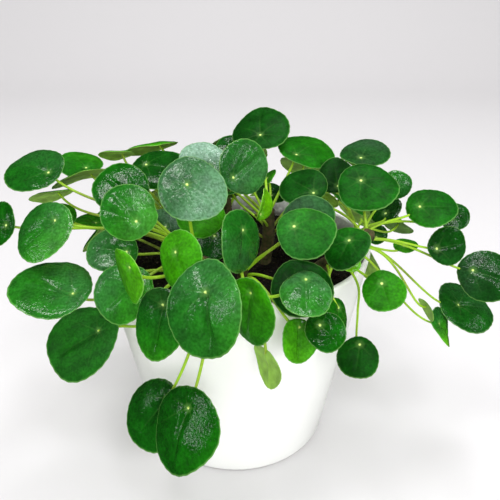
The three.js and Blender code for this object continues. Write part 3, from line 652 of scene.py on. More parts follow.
def blade_lift(leaf, along, across):
    """How far the solid's surface stands off its plane, as a share of the radius."""
    out = along ** 2 + across ** 2
    turn = 2 * math.pi * draw(leaf, "wave")
    dome = -BLADE_DOME * out
    fold = leaf.get("fold", 0) * (np.hypot(across, BLADE_FOLD_SOFT) - BLADE_FOLD_SOFT)
    wave = BLADE_WAVE * out * np.cos(2 * np.arctan2(across, along) + turn)
    return dome + fold + wave


def blade_detail(leaf, along, across, share):
    """The dimple over the petiole, the groove of the main vein, soft wrinkles and the rolled rim."""
    past_along, past_across = along - leaf["dot_along"], across - leaf["dot_across"]
    from_dot = np.hypot(past_along, past_across)
    calm = smooth(CALM_FROM, 1, share)
    dimple = -DIMPLE * np.exp(-(from_dot / DIMPLE_WIDE) ** 2)
    off_vein = np.abs(across - leaf["dot_across"] * (1 - share))
    groove = -leaf.get("rib", RIB) * np.exp(-(off_vein / RIB_WIDE) ** 2)
    groove = groove * smooth(0, RIB_GROWS, past_along) * (1 - calm)
    creases = 0
    for way_along, way_across, height in creases_on(leaf):
        out = past_along * way_along + past_across * way_across
        off = np.abs(past_across * way_along - past_along * way_across)
        fades = smooth(0, CREASE_GROWS, out) * (1 - CREASE_FADES * calm)
        creases = creases + height * fades * np.exp(-off / CREASE_WIDE)
    ring_at, ring_height = leaf.get("ring", (RING_AT, RING_HEIGHT * (2 * draw(leaf, "ring") - 1)))
    ring = ring_height * np.exp(-((from_dot - ring_at) / RING_WIDE) ** 2)
    wrinkles = 0
    for number, (size, depth) in enumerate(WRINKLES, 1):
        heading = 2 * math.pi * draw(leaf, "wrinkle_way", number)
        phase = 2 * math.pi * draw(leaf, "wrinkle_phase", number)
        way = along * math.cos(heading) + across * math.sin(heading)
        wrinkles = wrinkles + depth * np.sin(way * 2 * math.pi / size + phase)
    roll = -ROLL * smooth(ROLL_FROM, 1, share) ** 2
    return dimple + groove + creases + ring + wrinkles * smooth(0, WRINKLES_GROW, from_dot) + roll


def dot_in_space(leaf):
    """The dot on the blade's bent surface, mm."""
    lift = float(blade_lift(leaf, leaf["dot_along"], leaf["dot_across"]))
    return in_space(leaf, leaf["dot_along"], leaf["dot_across"], lift)


def in_space(leaf, along, across, lift):
    """A place on the blade, mm."""
    radius = leaf["radius"]
    return leaf["middle"] + (leaf["tip"] * along + leaf["side"] * across + leaf["face"] * lift) * radius


def painted_sheen_and_flesh(leaf, along, across):
    """How much painted sheen lies at points of the blade, and how old the flesh is there, with painted shade
    added.
    """
    painted_sheen_share, sheen_along, sheen_across = grows_on(leaf, "painted_sheen", BACK_PAINTED_SHEEN)
    one_way = smooth(*PAINTED_SHEEN_SPREAD, along * sheen_along + across * sheen_across)
    dark, dark_along, dark_across = grows_on(leaf, "shade", BACK_SHADE)
    from_dot = np.hypot(along - leaf["dot_along"], across - leaf["dot_across"])
    age = leaf.get("age", lerp(*BACK_AGES, draw(leaf, "age")))
    # Painted shade: the flesh is darker towards one side and round the dot.
    ages_with_shade = age + dark * (along * dark_along + across * dark_across)
    ages_with_shade = ages_with_shade + DOT_SHADE * np.exp(-from_dot / DOT_SHADE_WIDE)
    return dict(painted_sheen=painted_sheen_share * lerp(PAINTED_SHEEN_EVEN, 1, one_way), age=ages_with_shade)


def blade_points(leaf):
    """Rings of points of the upper face, the rim and the under face, with what the material reads at each."""
    radius = leaf["radius"]
    angles = np.arange(BLADE_SPOKES) * 2 * math.pi / BLADE_SPOKES
    shares = np.sin(np.linspace(0, 1, BLADE_RINGS + 1)[1:] * math.pi / 2)
    edge = edge_share(leaf, angles)
    slim = leaf.get("slim", BLADE_SLIM)
    share = shares[:, None]
    along = lerp(leaf["dot_along"], edge * np.cos(angles), share)
    across = lerp(leaf["dot_across"], edge * np.sin(angles) * slim, share)
    lift = blade_lift(leaf, along, across) + blade_detail(leaf, along, across, share)
    half = lerp(BLADE_THICK, BLADE_RIM_THICK, share ** 2) / 2 / radius
    tip, side, face = (np.array(leaf[axis]) for axis in ("tip", "side", "face"))
    middle = np.array(leaf["middle"])

    def space(a, b, h):
        return middle + radius * (a[..., None] * tip + b[..., None] * side + h[..., None] * face)

    rim_out = 1 + BLADE_RIM_THICK / 2 / radius
    rim = space(along[-1] * rim_out, across[-1] * rim_out, lift[-1])
    upper = space(along, across, lift + half)
    under = space(along, across, lift - half)
    hub_lift = blade_lift(leaf, leaf["dot_along"], leaf["dot_across"]) - DIMPLE
    hub = np.array([leaf["dot_along"], leaf["dot_across"]])
    hub_top = space(hub[:1], hub[1:], np.array([hub_lift + half.max()]))
    hub_low = space(hub[:1], hub[1:], np.array([hub_lift - half.max()]))
    points = np.concatenate([hub_top, upper.reshape(-1, 3), rim, under[::-1].reshape(-1, 3), hub_low])
    all_along = np.concatenate([hub[:1], along.ravel(), along[-1], along[::-1].ravel(), hub[:1]])
    all_across = np.concatenate([hub[1:], across.ravel(), across[-1], across[::-1].ravel(), hub[1:]])
    plane = np.stack([all_along - hub[0], all_across - hub[1]], axis=-1) * radius
    reach = np.repeat(shares, BLADE_SPOKES)
    ends = np.array([0.0])
    edge_values = np.concatenate([ends, reach, np.ones(BLADE_SPOKES), reach[::-1], ends])
    count = 1 + BLADE_RINGS * BLADE_SPOKES
    under_values = np.concatenate([np.zeros(count), np.full(BLADE_SPOKES, 0.5), np.ones(count)])
    read = dict(painted_sheen_and_flesh(leaf, all_along, all_across), edge=edge_values, under=under_values)
    return points, plane, read


def blade_faces(first):
    """The faces between those rings, counted from the blade's first point."""
    rings = 2 * BLADE_RINGS + 1
    last = first + 1 + rings * BLADE_SPOKES

    def at(ring, spoke):
        return first + 1 + ring * BLADE_SPOKES + spoke % BLADE_SPOKES

    faces = []
    for spoke in range(BLADE_SPOKES):
        faces.append((first, at(0, spoke), at(0, spoke + 1)))
        for ring in range(rings - 1):
            faces.append((at(ring, spoke), at(ring + 1, spoke), at(ring + 1, spoke + 1), at(ring, spoke + 1)))
        faces.append((last, at(rings - 1, spoke + 1), at(rings - 1, spoke)))
    return faces


def blades_mesh(name, leaves, materials):
    """All blades of a shoot as one mesh, with the map and the attributes that the materials read."""
    points, planes, readings, faces, skins = [], [], [], [], []
    first = 0
    for leaf in leaves:
        spots, plane, read = blade_points(leaf)
        faces_here = blade_faces(first)
        faces += faces_here
        skins += [1 if leaf.get("dull") else 0] * len(faces_here)
        first += len(spots)
        points.append(spots)
        planes.append(plane)
        readings.append(read)
    mesh = mesh_from(name, np.concatenate(points), faces)
    mesh.shade_smooth()
    for material in materials:
        mesh.materials.append(material)
    mesh.polygons.foreach_set("material_index", skins)
    for key in LEAF_ATTRIBUTES:
        values = np.concatenate([read[key] for read in readings])
        mesh.attributes.new(key, "FLOAT", "POINT").data.foreach_set("value", values)
    corner_points = np.empty(len(mesh.loops), dtype=np.int32)
    mesh.loops.foreach_get("vertex_index", corner_points)
    plane = np.concatenate(planes)[corner_points] / BLADE_UV_MM + 0.5
    mesh.uv_layers.new(name="blade").data.foreach_set("uv", plane.ravel())
    return mesh


# ---------------------------------------------------------------- stems and petioles


def bezier(points, count):
    """Points of a cubic curve."""
    a, b, c, d = points
    for step in range(count + 1):
        t = step / count
        s = 1 - t
        yield a * s ** 3 + b * 3 * s * s * t + c * 3 * s * t * t + d * t ** 3


def spline_through(knots, count):
    """Evenly spaced points of a smooth curve through the knots, which doesn't swing out between them."""
    rounds = [knots[0] * 2 - knots[1], *knots, knots[-1] * 2 - knots[-2]]
    fine = []
    for a, b, c, d in zip(rounds, rounds[1:], rounds[2:], rounds[3:]):
        before, here, after = (math.sqrt((q - p).length) for p, q in ((a, b), (b, c), (c, d)))
        leaves_b = ((b - a) / before - (c - a) / (before + here) + (c - b) / here) * here
        meets_c = ((c - b) / here - (d - b) / (here + after) + (d - c) / after) * here
        for step in range(count):
            t = step / count
            fine.append(b + leaves_b * t + ((c - b) * 3 - leaves_b * 2 - meets_c) * t ** 2
                        + ((b - c) * 2 + leaves_b + meets_c) * t ** 3)
    fine.append(knots[-1])
    lengths = np.concatenate([[0], np.cumsum([(q - p).length for p, q in zip(fine, fine[1:])])])
    wanted = np.linspace(0, lengths[-1], count + 1)
    columns = [np.interp(wanted, lengths, [p[axis] for p in fine]) for axis in range(3)]
    return [Vector(point) for point in zip(*columns)]


def round_pot(compass, radius, z):
    """A point at an angle round the pot's axis, a radius and a height."""
    return Vector((radius * math.cos(compass), radius * math.sin(compass), z))


def petiole_pulls(leaf, start, end):
    """The two points that pull the petiole's curve: up and outwards, and over the lip if it hangs outside."""
    if "over" in leaf:
        return [Vector(point) for point in leaf["over"]]
    end_radius = math.hypot(end.x, end.y)
    starts_inside = math.hypot(start.x, start.y) < LIP_RADIUS - ARCH_INSIDE
    if starts_inside and end_radius > LIP_RADIUS and end.z < POT_HEIGHT + ARCH_LOW:
        high = POT_HEIGHT + ARCH_RISE + ARCH_LIFT * max(0, POT_HEIGHT - end.z)
        over = round_pot(math.atan2(end.y, end.x), LIP_RADIUS + ARCH_OUTSIDE, high)
        return [over, end - leaf["face"] * ARCH_UNDER]
    span = end - start
    reach = span.length
    rise = Vector((span.x, span.y, 0)).normalized() * PETIOLE_OUTWARDS + Vector((0, 0, PETIOLE_UPWARDS))
    arrive = end - leaf["face"] * PETIOLE_UNDER * reach - span * PETIOLE_SHORT
    return [start + rise * PETIOLE_START * reach, arrive]


def stem_points(shoot):
    """Evenly spaced points up the stem."""
    knots = [Vector((x, y, STEM_BASE + z)) for x, y, z in shoot["stem"]]
    return spline_through(knots, STEM_POINTS)


def place_leaves(shoot, shoot_index, stem):
    """The leaves in their places, each with its start on the stem: the steeper it goes, the higher up."""
    tip = stem[-1]
    leaves = [settle(leaf, SEED_STEP * shoot_index + i + 1, tip) for i, leaf in enumerate(shoot["leaves"])]

    def climb(leaf):
        way = dot_in_space(leaf) - tip
        return math.atan2(way.z, math.hypot(way.x, way.y))

    for rank, leaf in enumerate(sorted(leaves, key=climb)):
        share = lerp(*STEM_LEAFY, rank / (len(leaves) - 1))
        leaf["start"] = stem[round(share * STEM_POINTS)]
    return leaves


def path_object(name, paths):
    """A curve object: each path is a list of (point, radius), in mm."""
    curve = bpy.data.curves.new(name, "CURVE")
    curve.dimensions = "3D"
    for path in paths:
        spline = curve.splines.new("POLY")
        spline.points.add(len(path) - 1)
        for point, (place, radius) in zip(spline.points, path):
            point.co = (*(place * MM), 1)
            point.radius = radius * MM
    return new_object(name, curve)


def petiole_path(leaf, thick):
    """A petiole's points and radii, from inside the stem to the underside of the blade's dot."""
    end = dot_in_space(leaf) - leaf["face"] * (DIMPLE * leaf["radius"])
    if "through" in leaf:
        line = spline_through([leaf["start"], *map(Vector, leaf["through"]), end], PETIOLE_POINTS)
    else:
        line = bezier([leaf["start"], *petiole_pulls(leaf, leaf["start"], end), end], PETIOLE_POINTS)
    path = []
    for step, point in enumerate(line):
        share = step / PETIOLE_POINTS
        swell = (PETIOLE_FOOT - 1) * math.exp(-share / PETIOLE_FOOT_LONG) - (1 - PETIOLE_NECK) * share
        path.append((point, thick / 2 * (1 + swell)))
    return path


def stem_path(shoot, stem):
    """The stem's points and radii: thick and ringed with leaf scars below, thinner above."""
    radius = shoot["thick"] / 2
    foot = stem[0] - Vector((0, 0, STEM_SUNK + STEM_COLLAR))
    path = [(foot, radius), (lerp(foot, stem[0], 0.5), radius)]
    for step, point in enumerate(stem):
        share = step / STEM_POINTS
        scar = STEM_SCAR * math.cos(2 * math.pi * share * STEM_SCARS) ** STEM_SCAR_SHARP
        path.append((point, radius * (1 - STEM_NARROWS * share) + scar))
    reach, blunt = STEM_TIP
    path.append((stem[-1] + (stem[-1] - stem[-2]).normalized() * radius * reach, radius * blunt))
    return path


# ---------------------------------------------------------------- geometry node trees


def new_tree(name, sizes):
    """A tree with a Geometry input, the named inputs, and a Geometry output."""
    tree = bpy.data.node_groups.new(name, "GeometryNodeTree")
    tree.interface.new_socket("Geometry", in_out="INPUT", socket_type="NodeSocketGeometry")
    for label, kind in sizes:
        tree.interface.new_socket(label, in_out="INPUT", socket_type="NodeSocket" + kind)
    tree.interface.new_socket("Geometry", in_out="OUTPUT", socket_type="NodeSocketGeometry")
    return tree, add(tree, "NodeGroupInput").node.outputs


def finish_tree(tree, geometry, material):
    """Ends a tree in Realize Instances and Set Material."""
    real = add(tree, "GeometryNodeRealizeInstances", {"Geometry": geometry})
    dressed = add(tree, "GeometryNodeSetMaterial", {"Geometry": real, "Material": material})
    add(tree, "NodeGroupOutput", {"Geometry": dressed})
    return tree


def turned_tree():
    """Turns a profile, a mesh of points in order from axis to axis, round the pot's axis."""
    tree, given = new_tree("turned_body", [("Sides", "Int"), ("Material", "Material")])
    rows = add(tree, "GeometryNodeAttributeDomainSize", {"Geometry": given["Geometry"]}, component="MESH")
    columns = add(tree, "ShaderNodeMath", {0: given["Sides"], 1: 1.0}, operation="ADD")
    # A grid of one unit square: X becomes the way along the profile, and Y the turn round the axis.
    grid = add(tree, "GeometryNodeMeshGrid",
               {"Size X": 1.0, "Size Y": 1.0, "Vertices X": rows, "Vertices Y": columns})
    place = add(tree, "GeometryNodeInputPosition")
    split = add(tree, "ShaderNodeSeparateXYZ", {0: place}).node.outputs
    row_share = add(tree, "ShaderNodeMath", {0: split["X"], 1: 0.5}, operation="ADD")
    steps = add(tree, "ShaderNodeMath", {0: rows, 1: 1.0}, operation="SUBTRACT")
    row = add(tree, "ShaderNodeMath", {0: row_share, 1: steps}, operation="MULTIPLY")
    row_number = add(tree, "ShaderNodeMath", {0: row}, operation="ROUND")
    read = {"Geometry": given["Geometry"], "Value": place, "Index": row_number}
    sample = add(tree, "GeometryNodeSampleIndex", read, data_type="FLOAT_VECTOR")
    turn = add(tree, "ShaderNodeMath", {0: split["Y"], 1: 2 * math.pi}, operation="MULTIPLY")
    turned = add(tree, "ShaderNodeVectorRotate", {"Vector": sample, "Angle": turn}, rotation_type="Z_AXIS")
    body = add(tree, "GeometryNodeSetPosition", {"Geometry": grid, "Position": turned})
    closed = add(tree, "GeometryNodeMergeByDistance", {"Geometry": body, "Distance": MERGE_MM * MM})
    even = add(tree, "GeometryNodeSetShadeSmooth", {"Geometry": closed})
    return finish_tree(tree, even, given["Material"])


def stalk_tree():
    """A round stalk along each path, as thick as the path's own radius."""
    tree, given = new_tree("round_stalks", [("Sides", "Int"), ("Material", "Material")])
    ring = add(tree, "GeometryNodeCurvePrimitiveCircle", {"Resolution": given["Sides"], "Radius": 1.0})
    radius = add(tree, "GeometryNodeInputRadius")
    stalks = add(tree, "GeometryNodeCurveToMesh",
                 {"Curve": given["Geometry"], "Profile Curve": ring, "Scale": radius, "Fill Caps": True})
    even = add(tree, "GeometryNodeSetShadeSmooth", {"Geometry": stalks})
    return finish_tree(tree, even, given["Material"])


def crumb_tree():
    """Crumbs of soil strewn over the faces that look up."""
    tree, given = new_tree("strewn_crumbs", [
        ("Crumbs per m2", "Float"), ("Small", "Float"), ("Large", "Float"), ("Seed", "Int"),
        ("Material", "Material"),
    ])
    normal = add(tree, "GeometryNodeInputNormal")
    upwards = add(tree, "ShaderNodeSeparateXYZ", {0: normal}).node.outputs["Z"]
    looks_up = add(tree, "FunctionNodeCompare", {"A": upwards, "B": CRUMB_LOOKS_UP}, operation="GREATER_THAN")
    spots = add(tree, "GeometryNodeDistributePointsOnFaces",
                {"Mesh": given["Geometry"], "Selection": looks_up, "Density": given["Crumbs per m2"],
                 "Seed": given["Seed"]})
    crumb = add(tree, "GeometryNodeMeshIcoSphere", {"Radius": 1.0, "Subdivisions": 1})
    size = add(tree, "FunctionNodeRandomValue",
               {"Min": given["Small"], "Max": given["Large"], "Seed": given["Seed"]}, data_type="FLOAT")
    shape, turn = (
        add(tree, "FunctionNodeRandomValue", {"Min": low, "Max": high, "Seed": given["Seed"]},
            data_type="FLOAT_VECTOR")
        for low, high in (CRUMB_SHAPE, ((0, 0, 0), (2 * math.pi,) * 3))
    )
    scale = add(tree, "ShaderNodeVectorMath", {0: shape, "Scale": size}, operation="SCALE")
    strewn = add(tree, "GeometryNodeInstanceOnPoints",
                 {"Points": spots, "Instance": crumb, "Rotation": turn, "Scale": scale})
    return finish_tree(tree, strewn, given["Material"])


def grown(name, source, tree, values):
    """A new object with the plain mesh that the tree makes of the source."""
    modifier = source.modifiers.new("grow", "NODES")
    modifier.node_group = tree
    inputs = {item.name: item.identifier for item in tree.interface.items_tree if item.in_out == "INPUT"}
    for label, value in values.items():
        modifier[inputs[label]] = value
    source.update_tag()
    depsgraph = bpy.context.evaluated_depsgraph_get()
    mesh = bpy.data.meshes.new_from_object(source.evaluated_get(depsgraph), depsgraph=depsgraph)
    mesh.name = name
    source.modifiers.remove(modifier)
    return new_object(name, mesh)


def face_outwards(piece):
    """Turns all faces of a closed mesh outwards."""
    work = bmesh.new()
    work.from_mesh(piece.data)
    bmesh.ops.recalc_face_normals(work, faces=work.faces)
    work.to_mesh(piece.data)
    work.free()


# ---------------------------------------------------------------- materials


def new_material(name, plain):
    """A material, its tree and its Object coordinates. Values that are the same all over go on the shader."""
    material = bpy.data.materials.new(name)
    material.use_nodes = True
    tree = material.node_tree
    for label, value in plain.items():
        tree.nodes["Principled BSDF"].inputs[label].default_value = value
    return material, tree, add(tree, "ShaderNodeTexCoord").node.outputs["Object"]


def finished(material, varied):
    """The material, once its shader reads what varies over the surface."""
    tree = material.node_tree
    for label, reading in varied.items():
        tree.links.new(reading, tree.nodes["Principled BSDF"].inputs[label])
    return material


def waxy_leaf(name, refraction, roughness_range):
    """Pilea leaf: a thick fleshy blade with a wax skin, glossy on most leaves and worn dull on some.

    The wax shines over a fine pebbled grain, and a pale painted sheen lies on it in places. The flesh is deep
    green, yellow-green while young, with a thin pale rim, a pale spot over the petiole and faint veins that
    spread from it; painted shade darkens it towards one side and round the spot. The underside is paler and
    dull, paler still with painted light that shines through the blade.
    """
    material, tree, place = new_material(name, {"IOR": refraction})
    edge, under, age, painted_sheen = (
        add(tree, "ShaderNodeAttribute", attribute_name=key).node.outputs["Fac"] for key in LEAF_ATTRIBUTES
    )
    # The blade's own map, in mm from the pale spot: X towards the tip, Y across.
    on_map = add(tree, "ShaderNodeUVMap", uv_map="blade")
    spread = {"Location": (-BLADE_UV_MM / 2, -BLADE_UV_MM / 2, 0), "Scale": (BLADE_UV_MM, BLADE_UV_MM, 1)}
    on_blade = add(tree, "ShaderNodeMapping", {"Vector": on_map, **spread})
    from_dot = add(tree, "ShaderNodeVectorMath", {0: on_blade}, operation="LENGTH")
    cloud, pebble, patches = (
        add(tree, "ShaderNodeTexNoise", {"Vector": place, "Scale": 1000 / size, "Detail": detail})
        for size, detail in ((LEAF_CLOUD_MM, 2.0), (LEAF_PEBBLE_MM, 2.0), (LEAF_SHEEN_MM, 1.0))
    )
    # Veins: the heading round the spot is folded into equal sectors. How far it is to the nearest is in mm.
    heading = add(tree, "ShaderNodeTexGradient", {"Vector": on_blade}, gradient_type="RADIAL")
    sectors = add(tree, "ShaderNodeMath", {0: heading, 1: LEAF_VEINS, 2: 0.5}, operation="MULTIPLY_ADD")
    to_vein = add(tree, "ShaderNodeMath", {0: sectors, 1: 0.5}, operation="PINGPONG")
    off_vein = add(tree, "ShaderNodeMath", {0: to_vein, 1: from_dot}, operation="MULTIPLY")

    # Each goes from its first value to its last while its reading goes from low to high.
    cloudy, pebbly, on_pebbles, line, inwards, halo, on_dot, on_rim, is_under, gloss = (
        add(tree, "ShaderNodeMapRange",
            {"Value": reading, "From Min": low, "From Max": high, "To Min": first, "To Max": last})
        for reading, (low, high), (first, last) in (
            (cloud, NOISE_SPAN, LEAF_CLOUDS),
            (pebble, NOISE_SPAN, LEAF_PEBBLES),
            (pebble, PEBBLE_SLOPES, PAINTED_SHEEN_ON_PEBBLES),
            (off_vein, LEAF_VEIN_MM, (1.0, 0.0)),
            (edge, LEAF_VEINS_FADE, (1.0, 0.0)),
            (from_dot, LEAF_HALO_MM, (LEAF_HALO_TINT, 0.0)),
            (from_dot, LEAF_DOT_MM, (1.0, 0.0)),
            (edge, LEAF_RIM_AT, (0.0, LEAF_RIM_TINT)),
            (under, UNDER_AT, (0.0, 1.0)),
            (patches, NOISE_SPAN, roughness_range),
        )
    )
    tone = add(tree, "ShaderNodeMath", {0: cloudy, 1: pebbly}, operation="MULTIPLY")
    # Painted sheen: pale milky green laid on the flesh where a reflection would shine, grainy over the
    # pebbles.
    painted_sheen_share = add(tree, "ShaderNodeMath", {0: painted_sheen, 1: on_pebbles}, operation="MULTIPLY")
    vein = add(tree, "ShaderNodeMath", {0: line, 1: inwards}, operation="MULTIPLY")
    vein_tint = add(tree, "ShaderNodeMath", {0: vein, 1: LEAF_VEIN_TINT}, operation="MULTIPLY")

    # The age read here is the leaf's own age with painted shade added.
    flesh = add(tree, "ShaderNodeValToRGB", {"Fac": age})
    stops = flesh.node.color_ramp.elements
    stops.remove(stops[1])
    stops[0].color = linear(LEAF_AGES[0][1])
    for age_there, green in LEAF_AGES[1:]:
        stops.new(age_there).color = linear(green)
    upper = add(tree, "ShaderNodeHueSaturation", {"Color": flesh, "Value": tone})
    for share, over in (
        (painted_sheen_share, PAINTED_SHEEN_COLOUR),
        (vein_tint, LEAF_VEIN),
        (halo, LEAF_VEIN),
        (on_dot, LEAF_DOT),
        (on_rim, LEAF_RIM),
    ):
        upper = add(tree, "ShaderNodeMix", {"Factor": share, "A": upper, "B": linear(over)}, data_type="RGBA")
    # The underside's own paler green, brighter at the young end as painted light shining through the blade.
    under_green = add(tree, "ShaderNodeMix",
                      {"Factor": age, "A": linear(UNDER_YOUNG_LIT_THROUGH), "B": linear(UNDER_OLD)}, data_type="RGBA")
    lower = add(tree, "ShaderNodeHueSaturation", {"Color": under_green, "Value": cloudy})
    colour = add(tree, "ShaderNodeMix", {"Factor": is_under, "A": upper, "B": lower}, data_type="RGBA")
    roughness = add(tree, "ShaderNodeMix",
                    {"Factor": is_under, "A": gloss, "B": UNDER_ROUGHNESS}, data_type="FLOAT")

    bump = {}
    for height, (strength, depth) in ((pebble, PEBBLE_BUMP), (cloud, CLOUD_BUMP), (vein, VEIN_BUMP)):
        bump |= {"Height": height, "Strength": strength, "Distance": depth * MM}
        bump["Normal"] = add(tree, "ShaderNodeBump", bump)
    return finished(material, {"Base Color": colour, "Roughness": roughness, "Normal": bump["Normal"]})


def layered_skin(name, plain, ground, layers, bump):
    """A skin of one colour under layers of others, each spread by its noise, and a bump that follows one."""
    material, tree, place = new_material(name, plain)
    colour = linear(ground)
    noises = []
    for over, size, detail, (low, high), most in layers:
        grain = add(tree, "ShaderNodeTexNoise", {"Vector": place, "Scale": 1000 / size, "Detail": detail})
        share = add(tree, "ShaderNodeMapRange",
                    {"Value": grain, "From Min": low, "From Max": high, "To Max": most})
        colour = add(tree, "ShaderNodeMix",
                     {"Factor": share, "A": colour, "B": linear(over)}, data_type="RGBA")
        noises.append(grain)
    layer, strength, depth = bump
    normal = add(tree, "ShaderNodeBump",
                 {"Height": noises[layer], "Strength": strength, "Distance": depth * MM})
    return finished(material, {"Base Color": colour, "Normal": normal})


def green_petiole():
    """Petiole: a smooth juicy stalk with a faint gloss, bright yellow-green, browner in places."""
    plain = {"Roughness": 0.42, "IOR": 1.4}
    return layered_skin("juicy_petiole", plain, PETIOLE_BRIGHT, PETIOLE_LAYERS, PETIOLE_BUMP)


def corky_stem():
    """Old pilea stem: woody green-brown skin with dry corky patches."""
    return layered_skin("corky_stem", {"Roughness": 0.8}, STEM_GREEN, STEM_LAYERS, STEM_BUMP)


def potting_soil():
    """Moist peat potting soil: nearly black, crumbly and dull, with a few paler crumbs."""
    plain = {"Roughness": 0.88, "Specular IOR Level": 0.3}
    return layered_skin("moist_potting_soil", plain, SOIL_BLACK, SOIL_LAYERS, SOIL_BUMP)


def white_pot():
    """Moulded white polypropylene with a satin skin: a faint ripple, and soil dust inside the lip, made dark
    and high enough to be painted shade as well.
    """
    material, tree, place = new_material("satin_white_polypropylene", {"IOR": 1.49})
    height = add(tree, "ShaderNodeSeparateXYZ", {0: place}).node.outputs["Z"]
    # How far out from the axis a point lies once the wall's slope is taken off, which parts its two faces.
    flat = add(tree, "ShaderNodeVectorMath", {0: place, 1: (1, 1, 0)}, operation="MULTIPLY")
    radius = add(tree, "ShaderNodeVectorMath", {0: flat}, operation="LENGTH")
    upright = add(tree, "ShaderNodeMath", {0: height, 1: -POT_SLOPE, 2: radius}, operation="MULTIPLY_ADD")
    grains, swell, ripple = (
        add(tree, "ShaderNodeTexNoise", {"Vector": place, "Scale": 1000 / size, "Detail": detail})
        for size, detail in ((DUST_AND_SHADE_GRAIN_MM, 4.0), (POT_SWELL_MM, 1.0), (POT_RIPPLE_MM, 2.0))
    )
    wall_share, parting = POT_INSIDE
    wall = (POT_FOOT_RADIUS - POT_WALL * wall_share) * MM
    inside, near_soil, grainy, satin = (
        add(tree, "ShaderNodeMapRange",
            {"Value": reading, "From Min": low, "From Max": high, "To Min": first, "To Max": last})
        for reading, (low, high), (first, last) in (
            (upright, (wall, wall + parting * MM), (1.0, 0.0)),
            (height, ((SOIL_TOP - DUST_AND_SHADE_STARTS) * MM, (SOIL_TOP + DUST_AND_SHADE_MM) * MM), (1.0, 0.0)),
            (grains, DUST_AND_SHADE_GRAINS, (0.0, 1.0)),
            (ripple, NOISE_SPAN, POT_SATIN),
        )
    )
    # Soil dust and painted shade: dark grains on the inside wall, from just under the soil's edge up.
    low_inside = add(tree, "ShaderNodeMath", {0: inside, 1: near_soil}, operation="MULTIPLY")
    dust_and_shade = add(tree, "ShaderNodeMath", {0: low_inside, 1: grainy}, operation="MULTIPLY")
    colour = linear(POT_WHITE)
    for share, over in ((swell, POT_OFF_WHITE), (dust_and_shade, DUST_AND_SHADE)):
        colour = add(tree, "ShaderNodeMix",
                     {"Factor": share, "A": colour, "B": linear(over)}, data_type="RGBA")
    strength, depth = RIPPLE_BUMP
    bump = add(tree, "ShaderNodeBump", {"Height": ripple, "Strength": strength, "Distance": depth * MM})
    return finished(material, {"Base Color": colour, "Roughness": satin, "Normal": bump})


def studio_paper():
    """Pale seamless studio paper: flat, matt and even."""
    plain = {"Base Color": linear(PAPER), "Roughness": 0.9, "Specular IOR Level": 0.2}
    return new_material("pale_studio_paper", plain)[0]


# ---------------------------------------------------------------- pot and soil


def arc(middle, radius, start, end, steps=6):
    """Points of a round in the (radius, height) plane, angles in degrees."""
    for step in range(steps + 1):
        angle = math.radians(lerp(start, end, step / steps))
        yield middle[0] + radius * math.cos(angle), middle[1] + radius * math.sin(angle)


def outer_radius(z):
    """The radius of the pot's outside at a height."""
    return POT_FOOT_RADIUS + POT_SLOPE * z


def inner_radius(z):
    """The radius of the pot's inside at a height."""
    return outer_radius(z) - POT_WALL


def profile_object(name, profile):
    """A turned body's profile, as a mesh of its points in order."""
    points = [(radius, 0, z) for radius, z in profile]
    edges = list(zip(range(len(points)), range(1, len(points))))
    mesh = bpy.data.meshes.new(name)
    mesh.from_pydata([tuple(c * MM for c in p) for p in points], edges, [])
    return new_object(name, mesh)


def pot_profile():
    """The pot: out over its foot, up its outside, over the lip and down inside."""
    foot, lip = POT_FOOT_ROUND, POT_LIP_ROUND
    tilt = math.degrees(math.atan(POT_SLOPE))
    foot_middle = (outer_radius(foot) - foot, foot)
    lip_middle_out = (outer_radius(POT_HEIGHT - lip) - lip, POT_HEIGHT - lip)
    lip_middle_in = (inner_radius(POT_HEIGHT - lip) + lip, POT_HEIGHT - lip)
    heights = [lerp(foot, POT_HEIGHT - lip, step / POT_WALL_STEPS) for step in range(1, POT_WALL_STEPS)]
    profile = [(radius, 0) for radius in POT_FOOT_RINGS]
    profile += arc(foot_middle, foot, -90, -tilt)
    profile += [(outer_radius(z), z) for z in heights]
    profile += arc(lip_middle_out, lip, -tilt, 90)
    profile += arc(lip_middle_in, lip, 90, 180 - tilt)
    profile += [(inner_radius(z), z) for z in reversed(heights)]
    profile += [
        (inner_radius(POT_FLOOR + POT_BEVEL), POT_FLOOR + POT_BEVEL),
        (inner_radius(POT_FLOOR) - POT_BEVEL, POT_FLOOR),
        (0, POT_FLOOR),
    ]
    return profile


def soil_profile():
    """The soil: out over the pot's floor, up the wall and back over its heaped top."""
    low = POT_FLOOR + SOIL_CLEAR
    rim = inner_radius(SOIL_TOP) - SOIL_CLEAR
    profile = [(0, low), (inner_radius(low) - SOIL_CLEAR, low), (rim, SOIL_TOP - SOIL_SHOULDER)]
    for ring in range(SOIL_RINGS + 1):
        share = 1 - ring / SOIL_RINGS
        profile.append((rim * share, SOIL_TOP + SOIL_CROWN * (1 - share ** 2)))
    return profile


def roughen_soil(piece):
    """Raises and sinks the soil's surface in lumps and crumbs."""
    for vertex in piece.data.vertices:
        place = vertex.co
        if place.z > (SOIL_TOP - SOIL_SHOULDER / 2) * MM:
            lump = sum(noise.noise(place / (size * MM)) * height for size, height in SOIL_LUMPS)
            place.z += (lump - SOIL_SINKS) * MM


# ---------------------------------------------------------------- build

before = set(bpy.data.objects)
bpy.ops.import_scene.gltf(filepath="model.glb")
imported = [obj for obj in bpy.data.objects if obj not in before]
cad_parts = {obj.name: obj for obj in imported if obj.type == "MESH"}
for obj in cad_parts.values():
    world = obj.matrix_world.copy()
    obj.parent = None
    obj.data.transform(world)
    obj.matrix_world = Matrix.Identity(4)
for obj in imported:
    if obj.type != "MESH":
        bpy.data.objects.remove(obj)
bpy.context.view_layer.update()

leaf_skins = [waxy_leaf(*GLOSSY_SKIN), waxy_leaf(*DULL_SKIN)]
petiole_skin = green_petiole()
stem_skin = corky_stem()
soil_skin = potting_soil()

